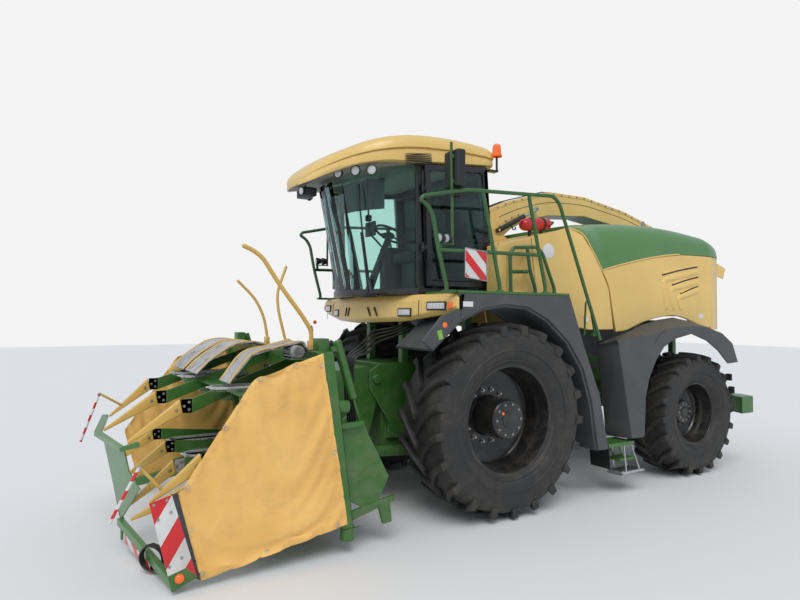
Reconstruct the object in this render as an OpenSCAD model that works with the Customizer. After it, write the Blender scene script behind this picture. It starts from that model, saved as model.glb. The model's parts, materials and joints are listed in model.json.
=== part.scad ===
// Self-propelled forage harvester with a maize header folded for the road.
// X points forward, Y to the machine's left and Z up, in millimetres.
// Inside the modules X is counted from the front axle; in_place() shifts it.

/* [Wheels] */
// Distance between the axles
wheelbase = 3200; // [3100:10:3300]
// Radius of a front tyre over its lugs
front_tyre_r = 975; // [940:5:990]
// Width of a front tyre
front_tyre_w = 690; // [620:10:700]
// Middle of a front tyre, out from the machine's middle
front_track = 1150; // [1140:5:1160]
// Radius of a front rim's bead seat
front_rim_r = 533; // [500:1:545]
// Radius of a rear tyre over its lugs
rear_tyre_r = 775; // [740:5:785]
// Width of a rear tyre
rear_tyre_w = 590; // [520:10:600]
// Middle of a rear tyre, out from the machine's middle
rear_track = 1080; // [1075:5:1100]
// Radius of a rear rim's bead seat
rear_rim_r = 381; // [350:1:400]
// Height of the tread lugs
lug_h = 52; // [40:1:60]
// Kingpins of the steered axle, out from the machine's middle
kingpin_y = 620; // [610:5:630]
// Radius of the kingpins
kingpin_r = 45; // [35:1:50]

/* [Body] */
// Outer face of the body's sides
body_half_w = 1200; // [1190:5:1210]
// Outer face of the fenders and the platform
machine_half_w = 1500; // [1490:5:1510]
// Thickness of the body's panels
panel_t = 40; // [30:1:45]
// Thickness of the fender skins
fender_t = 25; // [15:1:30]
// Seam left between panels that open
seam = 6; // [5:0.5:8]
// Underside of the platform deck
deck_h = 2225; // [2225:1:2240]
// Thickness of the platform deck
deck_t = 25; // [15:1:30]
// Top of the chassis rails
rail_top = 1340; // [1330:5:1350]
// Height of the chassis rails
rail_h = 180; // [150:5:200]
// Inner face of the chassis rails
rail_in = 300; // [280:5:300]
// Width of a chassis rail
rail_w = 80; // [60:5:80]

/* [Cab] */
// Half width of the cab over its pillars
cab_half_w = 930; // [900:5:935]
// Width of a cab pillar
pillar_w = 60; // [50:2:70]
// Thickness of the cab's glass
glass_t = 8; // [6:1:10]
// Thickness of the cab floor
floor_t = 65; // [50:5:80]
// Thickness of the door
door_t = 40; // [30:1:45]

/* [Header] */
// Half width of the folded header
header_half_w = 1460; // [1440:5:1470]
// Height of the header's top rear beam
header_top = 1700; // [1690:5:1720]
// Half width of the intake's side walls, outside
intake_half_w = 395; // [380:5:395]
// Sheet thickness of the intake's side walls
intake_wall = 22; // [16:1:24]
// Radius of the intake's pivot pins
intake_pin_r = 45; // [35:1:50]

/* [Spout] */
// Half width of the discharge spout
spout_half_w = 165; // [150:5:180]
// Sheet thickness of the spout
spout_wall = 12; // [8:1:16]
// Radius of the turning ring under the spout
turret_r = 290; // [280:5:300]

/* [Hidden] */
$fn = 48;

// Front axle, forward of the frame's origin
front_axle_x = 1044;
// Running clearance round pins
pin_gap = 0.05;
// Play of a rod's eye round its pin
eye_play = 9;
// Clearance between faces that turn past each other
face_gap = 0.3;
// Clearance round bodies that move freely
move_gap = 6;
deck_top = deck_h + deck_t;
rail_out = rail_in + rail_w;
rail_bottom = rail_top - rail_h;
floor_top = deck_h + floor_t;

function rear(x) = x - wheelbase;
function unit(v) = v / norm(v);

// Direction square to a path of points in X and Z at its point i, to the left of its way
function path_side(path, i) = let (
        last = len(path) - 1,
        d = unit(path[min(i + 1, last)] - path[max(i - 1, 0)])
    ) [-d[1], d[0]];

// Outline of a strip of thickness t to the left of a path
function strip(path, t) = concat(path,
    [for (i = [len(path) - 1 : -1 : 0]) path[i] + t * path_side(path, i)]);

module in_place() translate([front_axle_x, 0, 0]) children();

module both_sides() {
    children();
    mirror([0, 1, 0]) children();
}

// Box between two opposite corners
module block(low, high) translate(low) cube(high - low);

// Plate with an outline in X and Z, from y_in to y_out
module side_plate(outline, y_in, y_out)
    translate([0, y_out, 0]) rotate([90, 0, 0]) linear_extrude(y_out - y_in) polygon(outline);

// Plate with an outline in X and Y, from low to high
module flat_plate(outline, low, high)
    translate([0, 0, low]) linear_extrude(high - low) polygon(outline);

// Round bar along Y
module cross_bar(x, z, r, y_in, y_out)
    translate([x, y_out, z]) rotate([90, 0, 0]) cylinder(h = y_out - y_in, r = r);

// Round bar from a to b
module bar(a, b, r) {
    d = b - a;
    translate(a) rotate([0, acos(d[2] / norm(d)), atan2(d[1], d[0])]) cylinder(h = norm(d), r = r);
}

// Skin through closed loops of points that turn left about the way they advance
module loft(loops) {
    n = len(loops[0]);
    k = len(loops);
    points = [for (ring = loops, p = ring) p];
    walls = [for (i = [0 : k - 2], j = [0 : n - 1]) let (m = (j + 1) % n)
        each [[i * n + j, (i + 1) * n + j, (i + 1) * n + m], [i * n + j, (i + 1) * n + m, i * n + m]]];
    start = [for (j = [0 : n - 1]) j];
    end = [for (j = [n - 1 : -1 : 0]) (k - 1) * n + j];
    polyhedron(points, concat([start], walls, [end]));
}

// Ring of points round a path's point p, square to its direction t; ref is never along the path
function ring(p, t, r, sides, ref) = let (side = unit(cross(ref, t)), up = cross(t, side))
    [for (j = [0 : sides - 1]) let (a = 360 * j / sides) p + r * (cos(a) * side + sin(a) * up)];

// Tube of radius r along a list of points
module tube_run(path, r, ref = [0, 1, 0], sides = 8) {
    last = len(path) - 1;
    loft([for (i = [0 : last])
        let (t = i == 0 ? path[1] - path[0] : i == last ? path[last] - path[last - 1]
            : unit(path[i + 1] - path[i]) + unit(path[i] - path[i - 1]))
        ring(path[i], unit(t), r, sides, ref)]);
}

// Box beam along a list of points, w to each side and h up and down
module beam(path, w, h) {
    last = len(path) - 1;
    loft([for (i = [0 : last])
        let (t = unit(i == 0 ? path[1] - path[0] : i == last ? path[last] - path[last - 1]
            : unit(path[i + 1] - path[i]) + unit(path[i] - path[i - 1])),
            side = unit(cross([0, 0, 1], t)),
            up = cross(t, side))
        [for (c = [[1, 1], [-1, 1], [-1, -1], [1, -1]]) path[i] + c[0] * w * side + c[1] * h * up]]);
}

// WHEELS

// Point at radius r, angle a round the axle from the ground, and distance y along it
function on_wheel(r, a, y) = [r * sin(a), y, -r * cos(a)];

// Half angles of a lug at its tip and at its foot
lug_tip_a = 1.75;
lug_foot_a = 2.7;

// Ring of four points for each lug; turn skews the ring, tip and base are its two radii
function tread_ring(lugs, turn, tip, base, y) = [for (i = [0 : lugs - 1], c = [-1, -0.5, 0.5, 1])
    on_wheel(abs(c) == 1 ? base : tip,
        lug_tip_a + turn + i * 360 / lugs + (abs(c) == 1 ? c * lug_foot_a : 2 * c * lug_tip_a), y)];

// Tyre with its axle along Y; the lugs of its two halves alternate
module tyre(r, w, rim_r, rim_half_w, lugs) {
    base = r - lug_h;
    n = 4 * lugs;
    bead = (rim_r + face_gap) / cos(180 / lugs - lug_foot_a);
    // columns: distance from the middle, skew angle, radius over a lug, radius between lugs
    half = [[0.04 * w, 0, r, base], [0.46 * w, 13, r - 26, base - 24],
        [0.5 * w, 16, bead + 0.66 * (base - bead), bead + 0.6 * (base - bead)],
        [rim_half_w - 24, 16, bead, bead]];
    left = [for (h = half) tread_ring(lugs, h[1], h[2], h[3], h[0])];
    right = [for (i = [len(half) - 1 : -1 : 0]) let (h = half[i])
        tread_ring(lugs, h[1] - 180 / lugs, h[2], h[3], -h[0])];
    rings = concat(right, [tread_ring(lugs, 0, base, base, 0)], left);
    k = len(rings);
    middle = len(half);
    // Points of the right half are matched two places on, where its lugs lie
    function at(i, j) = i * n + (j + (i < middle ? 2 : 0)) % n;
    polyhedron([for (loop = rings, p = loop) p],
        [for (i = [0 : k - 1], j = [0 : n - 1]) let (m = (i + 1) % k)
            each [[at(i, j), at(m, j), at(m, j + 1)], [at(i, j), at(m, j + 1), at(i, j + 1)]]]);
}

// Rim with its disc and drum; y counts out from the tyre's middle plane
module rim(rim_r, half_w, hub_r, hub_back, flange_r, disc_y, drum_r, drum_front) {
    lip = rim_r + 25;
    well = rim_r - 30;
    rotate([-90, 0, 0]) {
        rotate_extrude() polygon([
            [rim_r - 16, -half_w], [lip, -half_w], [lip, -half_w + 12], [rim_r, -half_w + 22],
            [rim_r, -half_w + 130], [well, -half_w + 190], [well, half_w - 190],
            [rim_r, half_w - 130], [rim_r, half_w - 22], [lip, half_w - 12], [lip, half_w],
            [rim_r - 16, half_w], [rim_r - 16, half_w - 124], [well - 14, half_w - 184],
            [well - 14, 184 - half_w], [rim_r - 16, 124 - half_w]
        ]);
        rotate_extrude() polygon([
            [0, hub_back], [hub_r, hub_back], [hub_r, disc_y - 22], [flange_r, disc_y - 22],
            [well - 60, disc_y + 20], [well - 7, disc_y + 50], [well - 7, disc_y + 68],
            [well - 70, disc_y + 42], [flange_r, disc_y], [drum_r, disc_y], [drum_r, drum_front - 20],
            [drum_r - 20, drum_front], [0, drum_front]
        ]);
    }
}

// Wheels stand at x, with their middle out at side * track
module at_wheel(x, track, r, side)
    in_place() translate([x, side * track, r]) mirror([0, side < 0 ? 1 : 0, 0]) children();

front_rim_half_w = 278;
rear_rim_half_w = 225;
front_hub_back = 762 - front_track;
rear_hub_back = 790 - rear_track;

module front_tyre() color("#26262a") tyre(front_tyre_r, front_tyre_w, front_rim_r, front_rim_half_w, 21);
module rear_tyre() color("#26262a") tyre(rear_tyre_r, rear_tyre_w, rear_rim_r, rear_rim_half_w, 20);
module front_rim() color("#17181a")
    rim(front_rim_r, front_rim_half_w, 215, front_hub_back, 310, -100, 200, 250);
module rear_rim() color("#17181a")
    rim(rear_rim_r, rear_rim_half_w, 150, rear_hub_back, 210, -60, 155, 70);

module tyre_front_left() at_wheel(0, front_track, front_tyre_r, 1) front_tyre();
module tyre_front_right() at_wheel(0, front_track, front_tyre_r, -1) front_tyre();
module tyre_rear_left() at_wheel(rear(0), rear_track, rear_tyre_r, 1) rear_tyre();
module tyre_rear_right() at_wheel(rear(0), rear_track, rear_tyre_r, -1) rear_tyre();
module rim_front_left() at_wheel(0, front_track, front_tyre_r, 1) front_rim();
module rim_front_right() at_wheel(0, front_track, front_tyre_r, -1) front_rim();
module rim_rear_left() at_wheel(rear(0), rear_track, rear_tyre_r, 1) rear_rim();
module rim_rear_right() at_wheel(rear(0), rear_track, rear_tyre_r, -1) rear_rim();

// CHASSIS AND AXLES

front_flange_y = front_track + front_hub_back - face_gap;
rear_flange_y = rear_track + rear_hub_back - face_gap;
chopper_rear_x = 200;
chopper_front_x = 880;
chopper_top = 1500;
mid_frame_x = -1560;
cab_carrier_x = -330;
fender_wall_x = -1537;

module chassis_rails() in_place() {
    both_sides() {
        block([rear(-950), rail_in, rail_bottom], [chopper_rear_x, rail_out, rail_top]);
        block([cab_carrier_x, rail_in, rail_top], [cab_carrier_x + 100, rail_out, deck_h - 85]);
        block([cab_carrier_x, 0, deck_h - 85], [cab_carrier_x + 100, body_half_w - panel_t, deck_h]);
        block([cab_carrier_x + 100, 600, deck_h - 85], [650, 680, deck_h]);
        block([570, 330, chopper_top], [650, 410, deck_h - 85]);
        block([570, 0, deck_h - 85], [650, 600, deck_h]);
        block([mid_frame_x, rail_in, rail_top], [mid_frame_x + 80, rail_out, 1780]);
        block([mid_frame_x, 0, 1780], [mid_frame_x + 80, body_half_w - panel_t, 1860]);
        block([rear(-950), rail_in, rail_top], [rear(-870), rail_out, 1900]);
        flat_plate([[rear(-950), 0], [rear(-870), 0], [rear(-870), 1017.5], [rear(-950), 964.5]], 1900,
            1960);
        block([fender_wall_x - 60, rail_out, 1480], [fender_wall_x - 20, body_half_w, 1540]);
    }
    for (x = [rear(-930), rear(600), -1300, -400])
        block([x, -rail_in, rail_bottom + 20], [x + 100, rail_in, rail_top - 20]);
    block([rear(-160), -rail_in, 930], [rear(160), rail_in, rail_top - 40]);
}

module front_axle() in_place() {
    axle_h = front_tyre_r;
    both_sides() {
        cross_bar(0, axle_h, 150, 0, 640);
        cross_bar(0, axle_h, 230, 600, front_flange_y);
        block([-140, rail_in, axle_h], [140, rail_out, rail_bottom]);
    }
}

module main_frame() color("#3c7d34") {
    chassis_rails();
    front_axle();
}

axle_beam_top = 860;

module rear_axle() color("#2c6a2a") in_place() {
    difference() {
        union() {
            block([rear(-110), -530, 700], [rear(110), 530, axle_beam_top]);
            block([rear(-90), -150, axle_beam_top], [rear(90), 150, 930]);
            both_sides() {
                block([rear(-80), 500, 620], [rear(80), 532, 930]);
                block([rear(-80), 532, 890], [rear(80), kingpin_y + 70, 930]);
                block([rear(-80), 532, 620], [rear(80), kingpin_y + 70, 660]);
            }
        }
        both_sides() translate([rear(0), kingpin_y, 600]) cylinder(h = 400, r = kingpin_r + pin_gap);
    }
}

module knuckle() color("#2c6a2a") in_place() {
    translate([rear(0), kingpin_y, 620]) cylinder(h = 310, r = kingpin_r);
    translate([rear(0), kingpin_y, 660 + face_gap]) cylinder(h = 230 - 2 * face_gap, r = 80);
    cross_bar(rear(0), rear_tyre_r, 70, kingpin_y, rear_flange_y);
    cross_bar(rear(0), rear_tyre_r, 110, rear_flange_y - 30, rear_flange_y);
}
module knuckle_left() knuckle();
module knuckle_right() mirror([0, 1, 0]) knuckle();

module engine_block() color("#55585a") in_place()
    block([-2900, -560, rail_top], [-1700, 560, 2450]);

// CHOPPER, INTAKE AND LIFT CYLINDERS

intake_pivot = [970, 0, 1340];
intake_front_x = 1780;
// Pins of the lift cylinders, on the chopper and on the intake, as X and Z
lift_foot = [300, 560];
lift_head = [1450, 640];
lift_y = 520;
lift_pin_r = 25;

module chopper_housing() color("#3c7d34") in_place() {
    block([chopper_rear_x, -360, 520], [chopper_front_x, 360, chopper_top]);
    both_sides() {
        side_plate([[chopper_rear_x, 700], [700, 700], [1060, 1250], [1060, 1430], [940, chopper_top],
            [chopper_rear_x, chopper_top]], intake_half_w + move_gap, intake_half_w + 30);
        side_plate([[chopper_rear_x, 700], [chopper_front_x - 60, 700], [chopper_front_x - 60, chopper_top],
            [chopper_rear_x, chopper_top]], 360, intake_half_w + move_gap);
        cross_bar(intake_pivot[0], intake_pivot[2], intake_pin_r, intake_half_w - intake_wall,
            intake_half_w + 60);
        cross_bar(lift_foot[0], lift_foot[1], lift_pin_r, 360, lift_y + 60);
        side_plate([[220, 520], [380, 520], [380, 720], [220, 720]], 360, lift_y - 62);
    }
}

module intake_housing() color("#3c7d34") in_place() {
    difference() {
        union() {
            both_sides() side_plate([[chopper_front_x + 50, 1200], [930, 1420], [1060, 1480], [1500, 1440],
                [intake_front_x, 1300], [intake_front_x, 560], [1350, 540], [1050, 700]],
                intake_half_w - intake_wall, intake_half_w);
            side_plate([[1060, 1480], [1500, 1440], [intake_front_x, 1300], [intake_front_x, 1270],
                [1492, 1410], [1060, 1450]], -intake_half_w, intake_half_w);
            side_plate([[1050, 700], [1350, 540], [intake_front_x, 560], [intake_front_x, 590],
                [1352, 570], [1060, 726]], -intake_half_w, intake_half_w);
        }
        both_sides() cross_bar(intake_pivot[0], intake_pivot[2], intake_pin_r + pin_gap, 0, 1000);
    }
    both_sides() {
        side_plate([[1380, 560], [1500, 560], [1520, 700], [1380, 720]], intake_half_w, intake_half_w + 25);
        cross_bar(lift_head[0], lift_head[1], lift_pin_r, intake_half_w, lift_y + 60);
    }
    both_sides() cross_bar(1220, 830, 175, intake_half_w, intake_half_w + 22);
    for (spot = [[1180, 1180], [1180, 900], [1560, 1130], [1560, 830]])
        cross_bar(spot[0], spot[1], 100, -intake_half_w + intake_wall, intake_half_w - intake_wall);
}

module lift_barrels() color("#2f7a2d") in_place() both_sides()
    ram_barrel(lift_foot, lift_head, lift_y, 55, 30, 760, 50, lift_pin_r, 40);
module lift_rods() color("#c9ccd0") in_place() both_sides()
    ram_rod(lift_foot, lift_head, lift_y, 30, 400, 55, lift_pin_r, 35);

// BODY SHELL

// Side outline of the front box, ahead of the flap
front_box = [[-30, deck_top], [-30, 2750], [-920, 2970], [-1070, 3015], [-1280, 2945], [-1440, 2770],
    [-1600, 2545], [-1715, 2350], [-1795, 1860], [-1360, 1860], [-1100, 1900], [-820, deck_top]];
spout_x = -800;
collar_top = 2985;

// Top of the box at x, ahead of the spout
function box_top(x) = 2750 + (-30 - x) * 220 / 890;
box_wall_x = -205;
// Inner edge of the strips beside the door, in Y
box_wall_y = body_half_w - 190;

module body_front() color("#e8cf7a") in_place() {
    both_sides() {
        side_plate(front_box, body_half_w - panel_t, body_half_w);
        side_plate([[-65, deck_top], [-65, box_top(-65)], [-30, box_top(-30)], [-30, deck_top]],
            box_wall_y, body_half_w - panel_t);
        side_plate([[box_wall_x, deck_top], [box_wall_x, box_top(box_wall_x)], [-65, box_top(-65)],
            [-65, deck_top]], box_wall_y, box_wall_y + 30);
    }
    difference() {
        side_plate([[box_wall_x, deck_top], [box_wall_x, box_top(box_wall_x)], [-920, box_top(-920)],
            [-1060, 2980], [-1060, 2950], [-920, 2935], [box_wall_x - 35, box_top(box_wall_x) - 25],
            [box_wall_x - 35, deck_top]], panel_t - body_half_w, body_half_w - panel_t);
        block([spout_x - 190, -190, 2700], [spout_x + 190, 190, 3100]);
    }
}

// Round neck on the box, under the spout's turning ring
module spout_collar() color("#e8cf7a") in_place() difference() {
    translate([spout_x, 0, 2700]) cylinder(h = collar_top - 2700, r = turret_r + 15);
    translate([spout_x, 0, 2600]) cylinder(h = 800, r = turret_r - 30);
    translate([0, 0, face_gap])
        side_plate([[0, 2400], [0, box_top(0)], [-920, box_top(-920)], [-1060, 2980], [-1200, 2980],
            [-1200, 2400]],
            -600, 600);
}

// Hood's lower edge and crown; columns: x, half width, edge height, crown height
hood_rows = [
    [-1070, 1200, 3015.3, 3043], [-1280, 1200, 2945.3, 3072], [-1440, 1200, 2770.3, 3115],
    [-1600, 1200, 2545.3, 3142], [-1650, 1200, 2552, 3150], [-2080, 1200, 2660, 3185], [-2550, 1200, 2750,
        3200],
    [-3050, 1200, 2810, 3190], [-3580, 1200, 2822, 3140], [-3740, 1198, 2822, 3115],
    [-4000, 1120, 2822, 3055], [-4250, 955, 2822, 2980], [-4400, 705, 2822, 2935], [-4450, 420, 2822,
        2900]];
hood_t = 25;
// Shape of the hood across; columns: share of half width, share of height
hood_arch = [[1, 0], [0.985, 0.4], [0.93, 0.72], [0.8, 0.92], [0.55, 1], [0, 1.02]];

// Loop round the hood at one row, t inside its outer face; foot lets the inner loop run out below
function hood_loop(row, t, foot) = let (
        w = row[1] - t,
        low = row[2] - foot,
        side = [for (p = hood_arch) [p[0] * w, p[1] == 0 ? low : row[2] + p[1] * (row[3] - t - row[2])]],
        last = len(side) - 1
    ) concat(
        [for (i = [0 : last]) [row[0], side[i][0], side[i][1]]],
        [for (i = [last - 1 : -1 : 0]) [row[0], -side[i][0], side[i][1]]]);

module hood_top() color("#3f8f3a") in_place() difference() {
    loft([for (i = [len(hood_rows) - 1 : -1 : 0]) hood_loop(hood_rows[i], 0, 0)]);
    loft([for (i = [len(hood_rows) - 1 : -1 : 0]) hood_loop(hood_rows[i], hood_t, 60)]);
}

flap_outline = [
    [-1650, 2545], [-1755, 2350], [-1835, 1830], [rear(1180), 1845], [rear(900), 1935],
    [rear(600), 1995], [rear(300), 2025], [rear(40), 1990], [rear(-320), 1890], [rear(-530), 1870],
    [rear(-530), 2812], [rear(-380), 2814], [rear(150), 2802], [rear(650), 2742], [rear(1120), 2652]];

module side_flap() color("#efd68a") in_place()
    side_plate(flap_outline, body_half_w - panel_t, body_half_w);
module side_flap_left() side_flap();
module side_flap_right() mirror([0, 1, 0]) side_flap();

// Rear corner seen from above; columns: x, y, and the way to the inner face as shares of the thickness
rear_corner = [[rear(-540), 1200, 0, -1], [rear(-800), 1120, 0.4, -1], [rear(-1050), 955, 0.6, -1],
    [rear(-1200), 705, 0.7, -1], [rear(-1250), 420, 0.8, -0.6]];
function corner_face(t, side) = [for (p = rear_corner) [p[0] + t * p[2], side * (p[1] + t * p[3])]];
function backwards(list) = [for (i = [len(list) - 1 : -1 : 0]) list[i]];
function rear_wall(t) = concat(
    corner_face(0, 1), backwards(corner_face(0, -1)), corner_face(t, -1), backwards(corner_face(t, 1)));

module rear_panel() color("#e8cf7a") in_place() difference() {
    flat_plate(rear_wall(panel_t), 1840, 2822 - face_gap);
    for (i = [0 : 6])
        block([rear(-1300), -380, 1960 + i * 110], [rear(-1150), 380, 2020 + i * 110]);
}

// Top skin of a rear fender; columns: x from the rear axle, outer height, inner height
rear_skin = [[1690, 1740, 1700], [1180, 1800, 1826], [900, 1845, 1916], [600, 1885, 1976],
    [300, 1900, 2006], [40, 1885, 1968], [-300, 1800, 1868]];

module rear_fenders() color("#4a4c50") in_place() both_sides() {
    side_plate([for (p = [[1690, 1740], [1470, 630], [1250, 630], [1220, 1090], [1160, 1290], [1030, 1500],
        [880, 1650], [690, 1740], [340, 1800], [30, 1710], [-210, 1580], [-420, 1410], [-640, 1420],
        [-520, 1670], [-300, 1800], [40, 1885], [300, 1900], [600, 1885], [900, 1845], [1180, 1800]])
        [rear(p[0]), p[1]]], machine_half_w - fender_t, machine_half_w);
    loft([for (i = [len(rear_skin) - 1 : -1 : 0]) let (s = rear_skin[i], x = rear(s[0])) [
        [x, machine_half_w, s[1] - fender_t], [x, machine_half_w, s[1]],
        [x, body_half_w + face_gap, s[2]], [x, body_half_w + face_gap, s[2] - fender_t]]]);
    loft([
        [[rear(1430), machine_half_w - 5, 630], [rear(1525), body_half_w, 630],
            [rear(1560), body_half_w, 630], [rear(1470), machine_half_w - 5, 630]],
        [[rear(1650), machine_half_w - 5, 1735], [rear(1650), body_half_w, 1695],
            [rear(1688), body_half_w, 1695], [rear(1688), machine_half_w - 5, 1735]]]);
}

// Wheel arch of a front fender from its front tip to its rear end; columns: x, drop under the deck
front_arch = [[984, 525], [830, 392], [660, 254], [385, 139], [120, 100], [-170, 125], [-450, 250],
    [-740, 480], [-960, 775], [-1090, 1145], [-1180, 1665]];
fender_back = [[-1340, 1670], [-1210, 1075], [-980, 555], [-760, 0]];
// Upper edge of the fender's tip, from the deck forward
fender_tip = [[700, 0], [700, 150], [890, 215], [945, 275], [1103, 442]];
fender_in = 820;

function under_deck(list) = [for (p = list) [p[0], deck_h - p[1]]];

// The left fender reaches on to a tip beside the bumper, the right one ends under the deck
module front_fender(arch, edge) translate([0, 0, -face_gap]) {
    skin_y = machine_half_w - fender_t;
    side_plate(under_deck(concat(arch, fender_back, edge)), skin_y, machine_half_w);
    side_plate(strip(backwards(under_deck(arch)), -fender_t), fender_in, skin_y);
    side_plate(strip(under_deck(fender_back), -fender_t), body_half_w, skin_y);
    block([500, fender_in, deck_h - 175], [540, skin_y, deck_h]);
    block([-600, fender_in, deck_h - 265], [-550, skin_y, deck_h]);
}

module front_fenders() color("#4a4c50") in_place() {
    front_fender(front_arch, fender_tip);
    mirror([0, 1, 0]) front_fender(concat([[560, 212]], [for (i = [3 : 10]) front_arch[i]]), [[560, 0]]);
}

// Front bumper across; columns: share of the half width, drop of the face's lower and upper edge
bumper_rows = [[1, 167, 45], [0.9, 200, 50], [0.5, 275, 60], [0, 295, 65]];
bumper_full = concat(bumper_rows, [for (i = [2 : -1 : 0]) [-bumper_rows[i][0], bumper_rows[i][1],
    bumper_rows[i][2]]]);

module front_bumper() color("#efdca0") in_place()
    loft([for (row = bumper_full)
        let (y = row[0] * machine_half_w, x = 1010 - 0.2 * abs(y), low = deck_h - row[1],
            high = deck_h - row[2]) [
        [x - 90, y, deck_h], [x - 40, y, deck_h], [x, y, high], [x + 10, y, low + 45], [x - 20, y, low],
        [x - 60, y, low], [x - 50, y, low + 40], [x - 50, y, high - 20], [x - 90, y, high - 5]]]);

// PLATFORM, LADDER AND RAILS

module deck() in_place() both_sides() {
    block([-30, cab_half_w + 10, deck_h], [700, machine_half_w, deck_top]);
    block([-755, body_half_w, deck_h], [-30, machine_half_w, deck_top]);
}

// Back face of the front fender's rear wall at height z
function back_x(z) = lookup(z, [for (p = under_deck(fender_back)) [p[1], p[0]]]);

// Steps behind the fender's rear wall, a step plate under them and a hanging bottom step
module ladder() in_place() {
    step_in = body_half_w + 5;
    step_out = machine_half_w - fender_t;
    for (z = [900, 1250, 1600, 1930])
        side_plate([[back_x(z), z], [back_x(z) - 130, z], [back_x(z) - 130, z - 25],
            [back_x(z - 25), z - 25]],
            step_in, step_out - 130);
    side_plate(concat(under_deck(fender_back), backwards([for (p = under_deck(fender_back)) [p[0] - 60,
        p[1]]])),
        step_in, step_in + 12);
    difference() {
        side_plate([[back_x(560), 560], [back_x(600), 600], [-1800, 600], [-1800, 560]], step_in, step_out);
        for (x = [-1740 : 60 : -1440], y = [step_in + 45 : 60 : step_out - 60])
            block([x, y, 500], [x + 36, y + 36, 620]);
    }
    block([-1830, step_in + 65, 380], [-1600, step_out - 35, 410]);
    for (y = [step_in + 65, step_out - 50])
        side_plate([[-1700, 410], [-1680, 410], [-1560, 560], [-1590, 560]], y, y + 15);
}

module platform() color("#3c7d34") {
    deck();
    ladder();
}

rail_y = machine_half_w - 50;
rail_r = 20;
// Front face of the mirror's housing, and the post that carries it
mirror_x = 698;
mirror_post_y = rail_y - 45;
// Inner hoop of the platform rail, in Y
hoop_y = body_half_w + 60;

module rail(path, y = rail_y) tube_run([for (p = path) [p[0], y, p[1]]], rail_r);
// Foot of a rail's post on the deck
module rail_foot(x, y = rail_y) translate([x, y, deck_top]) cylinder(h = 12, r = 38);

module handrail() color("#3f8f3a") in_place() {
    both_sides() {
        rail([[800, deck_top - 10], [800, deck_top + 40], [890, 2620], [950, 2930], [1010, 3020],
            [1090, 3065], [1060, 3105],
            [960, 3125], [700, 3185], [530, 3215], [-570, 3270], [-660, 3200], [-1270, 1750]]);
        block([700, rail_y - 30, deck_h], [835, rail_y + 30, deck_top]);
        rail([[160, deck_top + 6], [160, deck_top + 60], [355, 3160], [375, 3216]]);
        rail([[-450, deck_top + 6], [-450, deck_top + 60], [-235, 3200], [-230, 3246]]);
        rail([[890, 2620], [-365, 2640]]);
        rail([[-150, deck_top + 6], [-150, deck_top + 60], [-140, 2650], [-190, 2725], [-500, 2750],
            [-590, 2700],
            [-770, deck_top + 60], [-770, deck_top + 6]], hoop_y);
        rail([[-140, 2470], [-380, 2480]], hoop_y);
        rail([[-380, 2740], [-420, 2480], [-490, deck_top + 60], [-490, deck_top + 6]], hoop_y);
        for (x = [160, -450]) rail_foot(x);
        for (x = [-150, -490]) rail_foot(x, hoop_y);
        block([840, rail_y - 35, 2630], [870, rail_y - 15, 2676]);
        block([mirror_x, rail_y - 35, 2676], [880, rail_y - 15, 2690]);
        tube_run([[mirror_x + 16, rail_y - 25, 2676], [mirror_x + 16, mirror_post_y, 3660]], 14);
        for (z = [3260, 3500])
            block([mirror_x, mirror_post_y - 16, z], [mirror_x + 16, mirror_post_y + 30, z + 40]);
        side_plate([[350, 2350], [600, 2380], [600, 2650], [350, 2620]], rail_y + rail_r - 3,
            rail_y + rail_r + 8);
    }
}

// CAB

// Height of the roof's underside at x
function roof_under(x) = x < 800 ? 3640 - (x + 220) * 90 / 1020 : 3550 - (x - 800) * 190 / 940;
function pillar_top(x) = roof_under(x) - face_gap;
// Front edge of the cab floor and of the glass under the roof, at y
function floor_front(y) = 1150 - 370 * pow(abs(y) / 880, 2);
function glass_front(y) = 1400 - 600 * pow(abs(y) / 880, 2);
screen_y = [for (i = [-6 : 6]) i * 880 / 6];

module pillar(outline) both_sides() side_plate(outline, cab_half_w - pillar_w, cab_half_w);

module cab_frame() color("#2b2d30") in_place() {
    flat_plate(concat([[-190, cab_half_w], [-190, -cab_half_w], [780, -cab_half_w]],
        [for (y = screen_y) [floor_front(y) + 15, y]], [[780, cab_half_w]]), deck_h, floor_top);
    pillar([[-180, floor_top], [10, floor_top], [10, 2790], [-80, 2810], [-20, pillar_top(-20)],
        [-100, pillar_top(-100)]]);
    pillar([[700, floor_top], [768, floor_top], [788, pillar_top(788)], [735, pillar_top(735)]]);
    pillar([[-60, roof_under(-60) - 60], [740, roof_under(740) - 60], [740, pillar_top(740)],
        [-60, pillar_top(-60)]]);
    side_plate([[-180, floor_top], [-140, floor_top], [-118, 2650], [-158, 2650]],
        pillar_w - cab_half_w, cab_half_w - pillar_w);
    side_plate([[-104, roof_under(-60) - 90], [-24, roof_under(-60) - 90], [-20, pillar_top(-20)],
        [-100, pillar_top(-100)]], pillar_w - cab_half_w, cab_half_w - pillar_w);
    for (z = door_z) {
        translate([door_pin[0], door_pin[1], z - 48]) cylinder(h = 96, r = door_pin_r);
        for (s = [-1, 1])
            let (low = z + s * (knuckle_h / 2 + face_gap), high = low + s * 16)
                block([door_pin[0] - 12, cab_half_w - 10, min(low, high)],
                    [door_pin[0] + 12, door_pin[1] + 14, max(low, high)]);
    }
    block([beacon_at[0] - 15, cab_half_w - 30, 3575], [-95, beacon_at[1] + 15, 3595]);
    translate([beacon_at[0], beacon_at[1], 3595]) cylinder(h = 150 - face_gap, r = 12);
}

module windscreen() color("#9fd8cc", 0.4) in_place()
    loft([for (y = screen_y) let (low = floor_front(y), high = glass_front(y)) [
        [low, y, floor_top], [low - glass_t, y, floor_top],
        [high - glass_t, y, pillar_top(high - glass_t)], [high, y, pillar_top(high)]]]);

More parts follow.
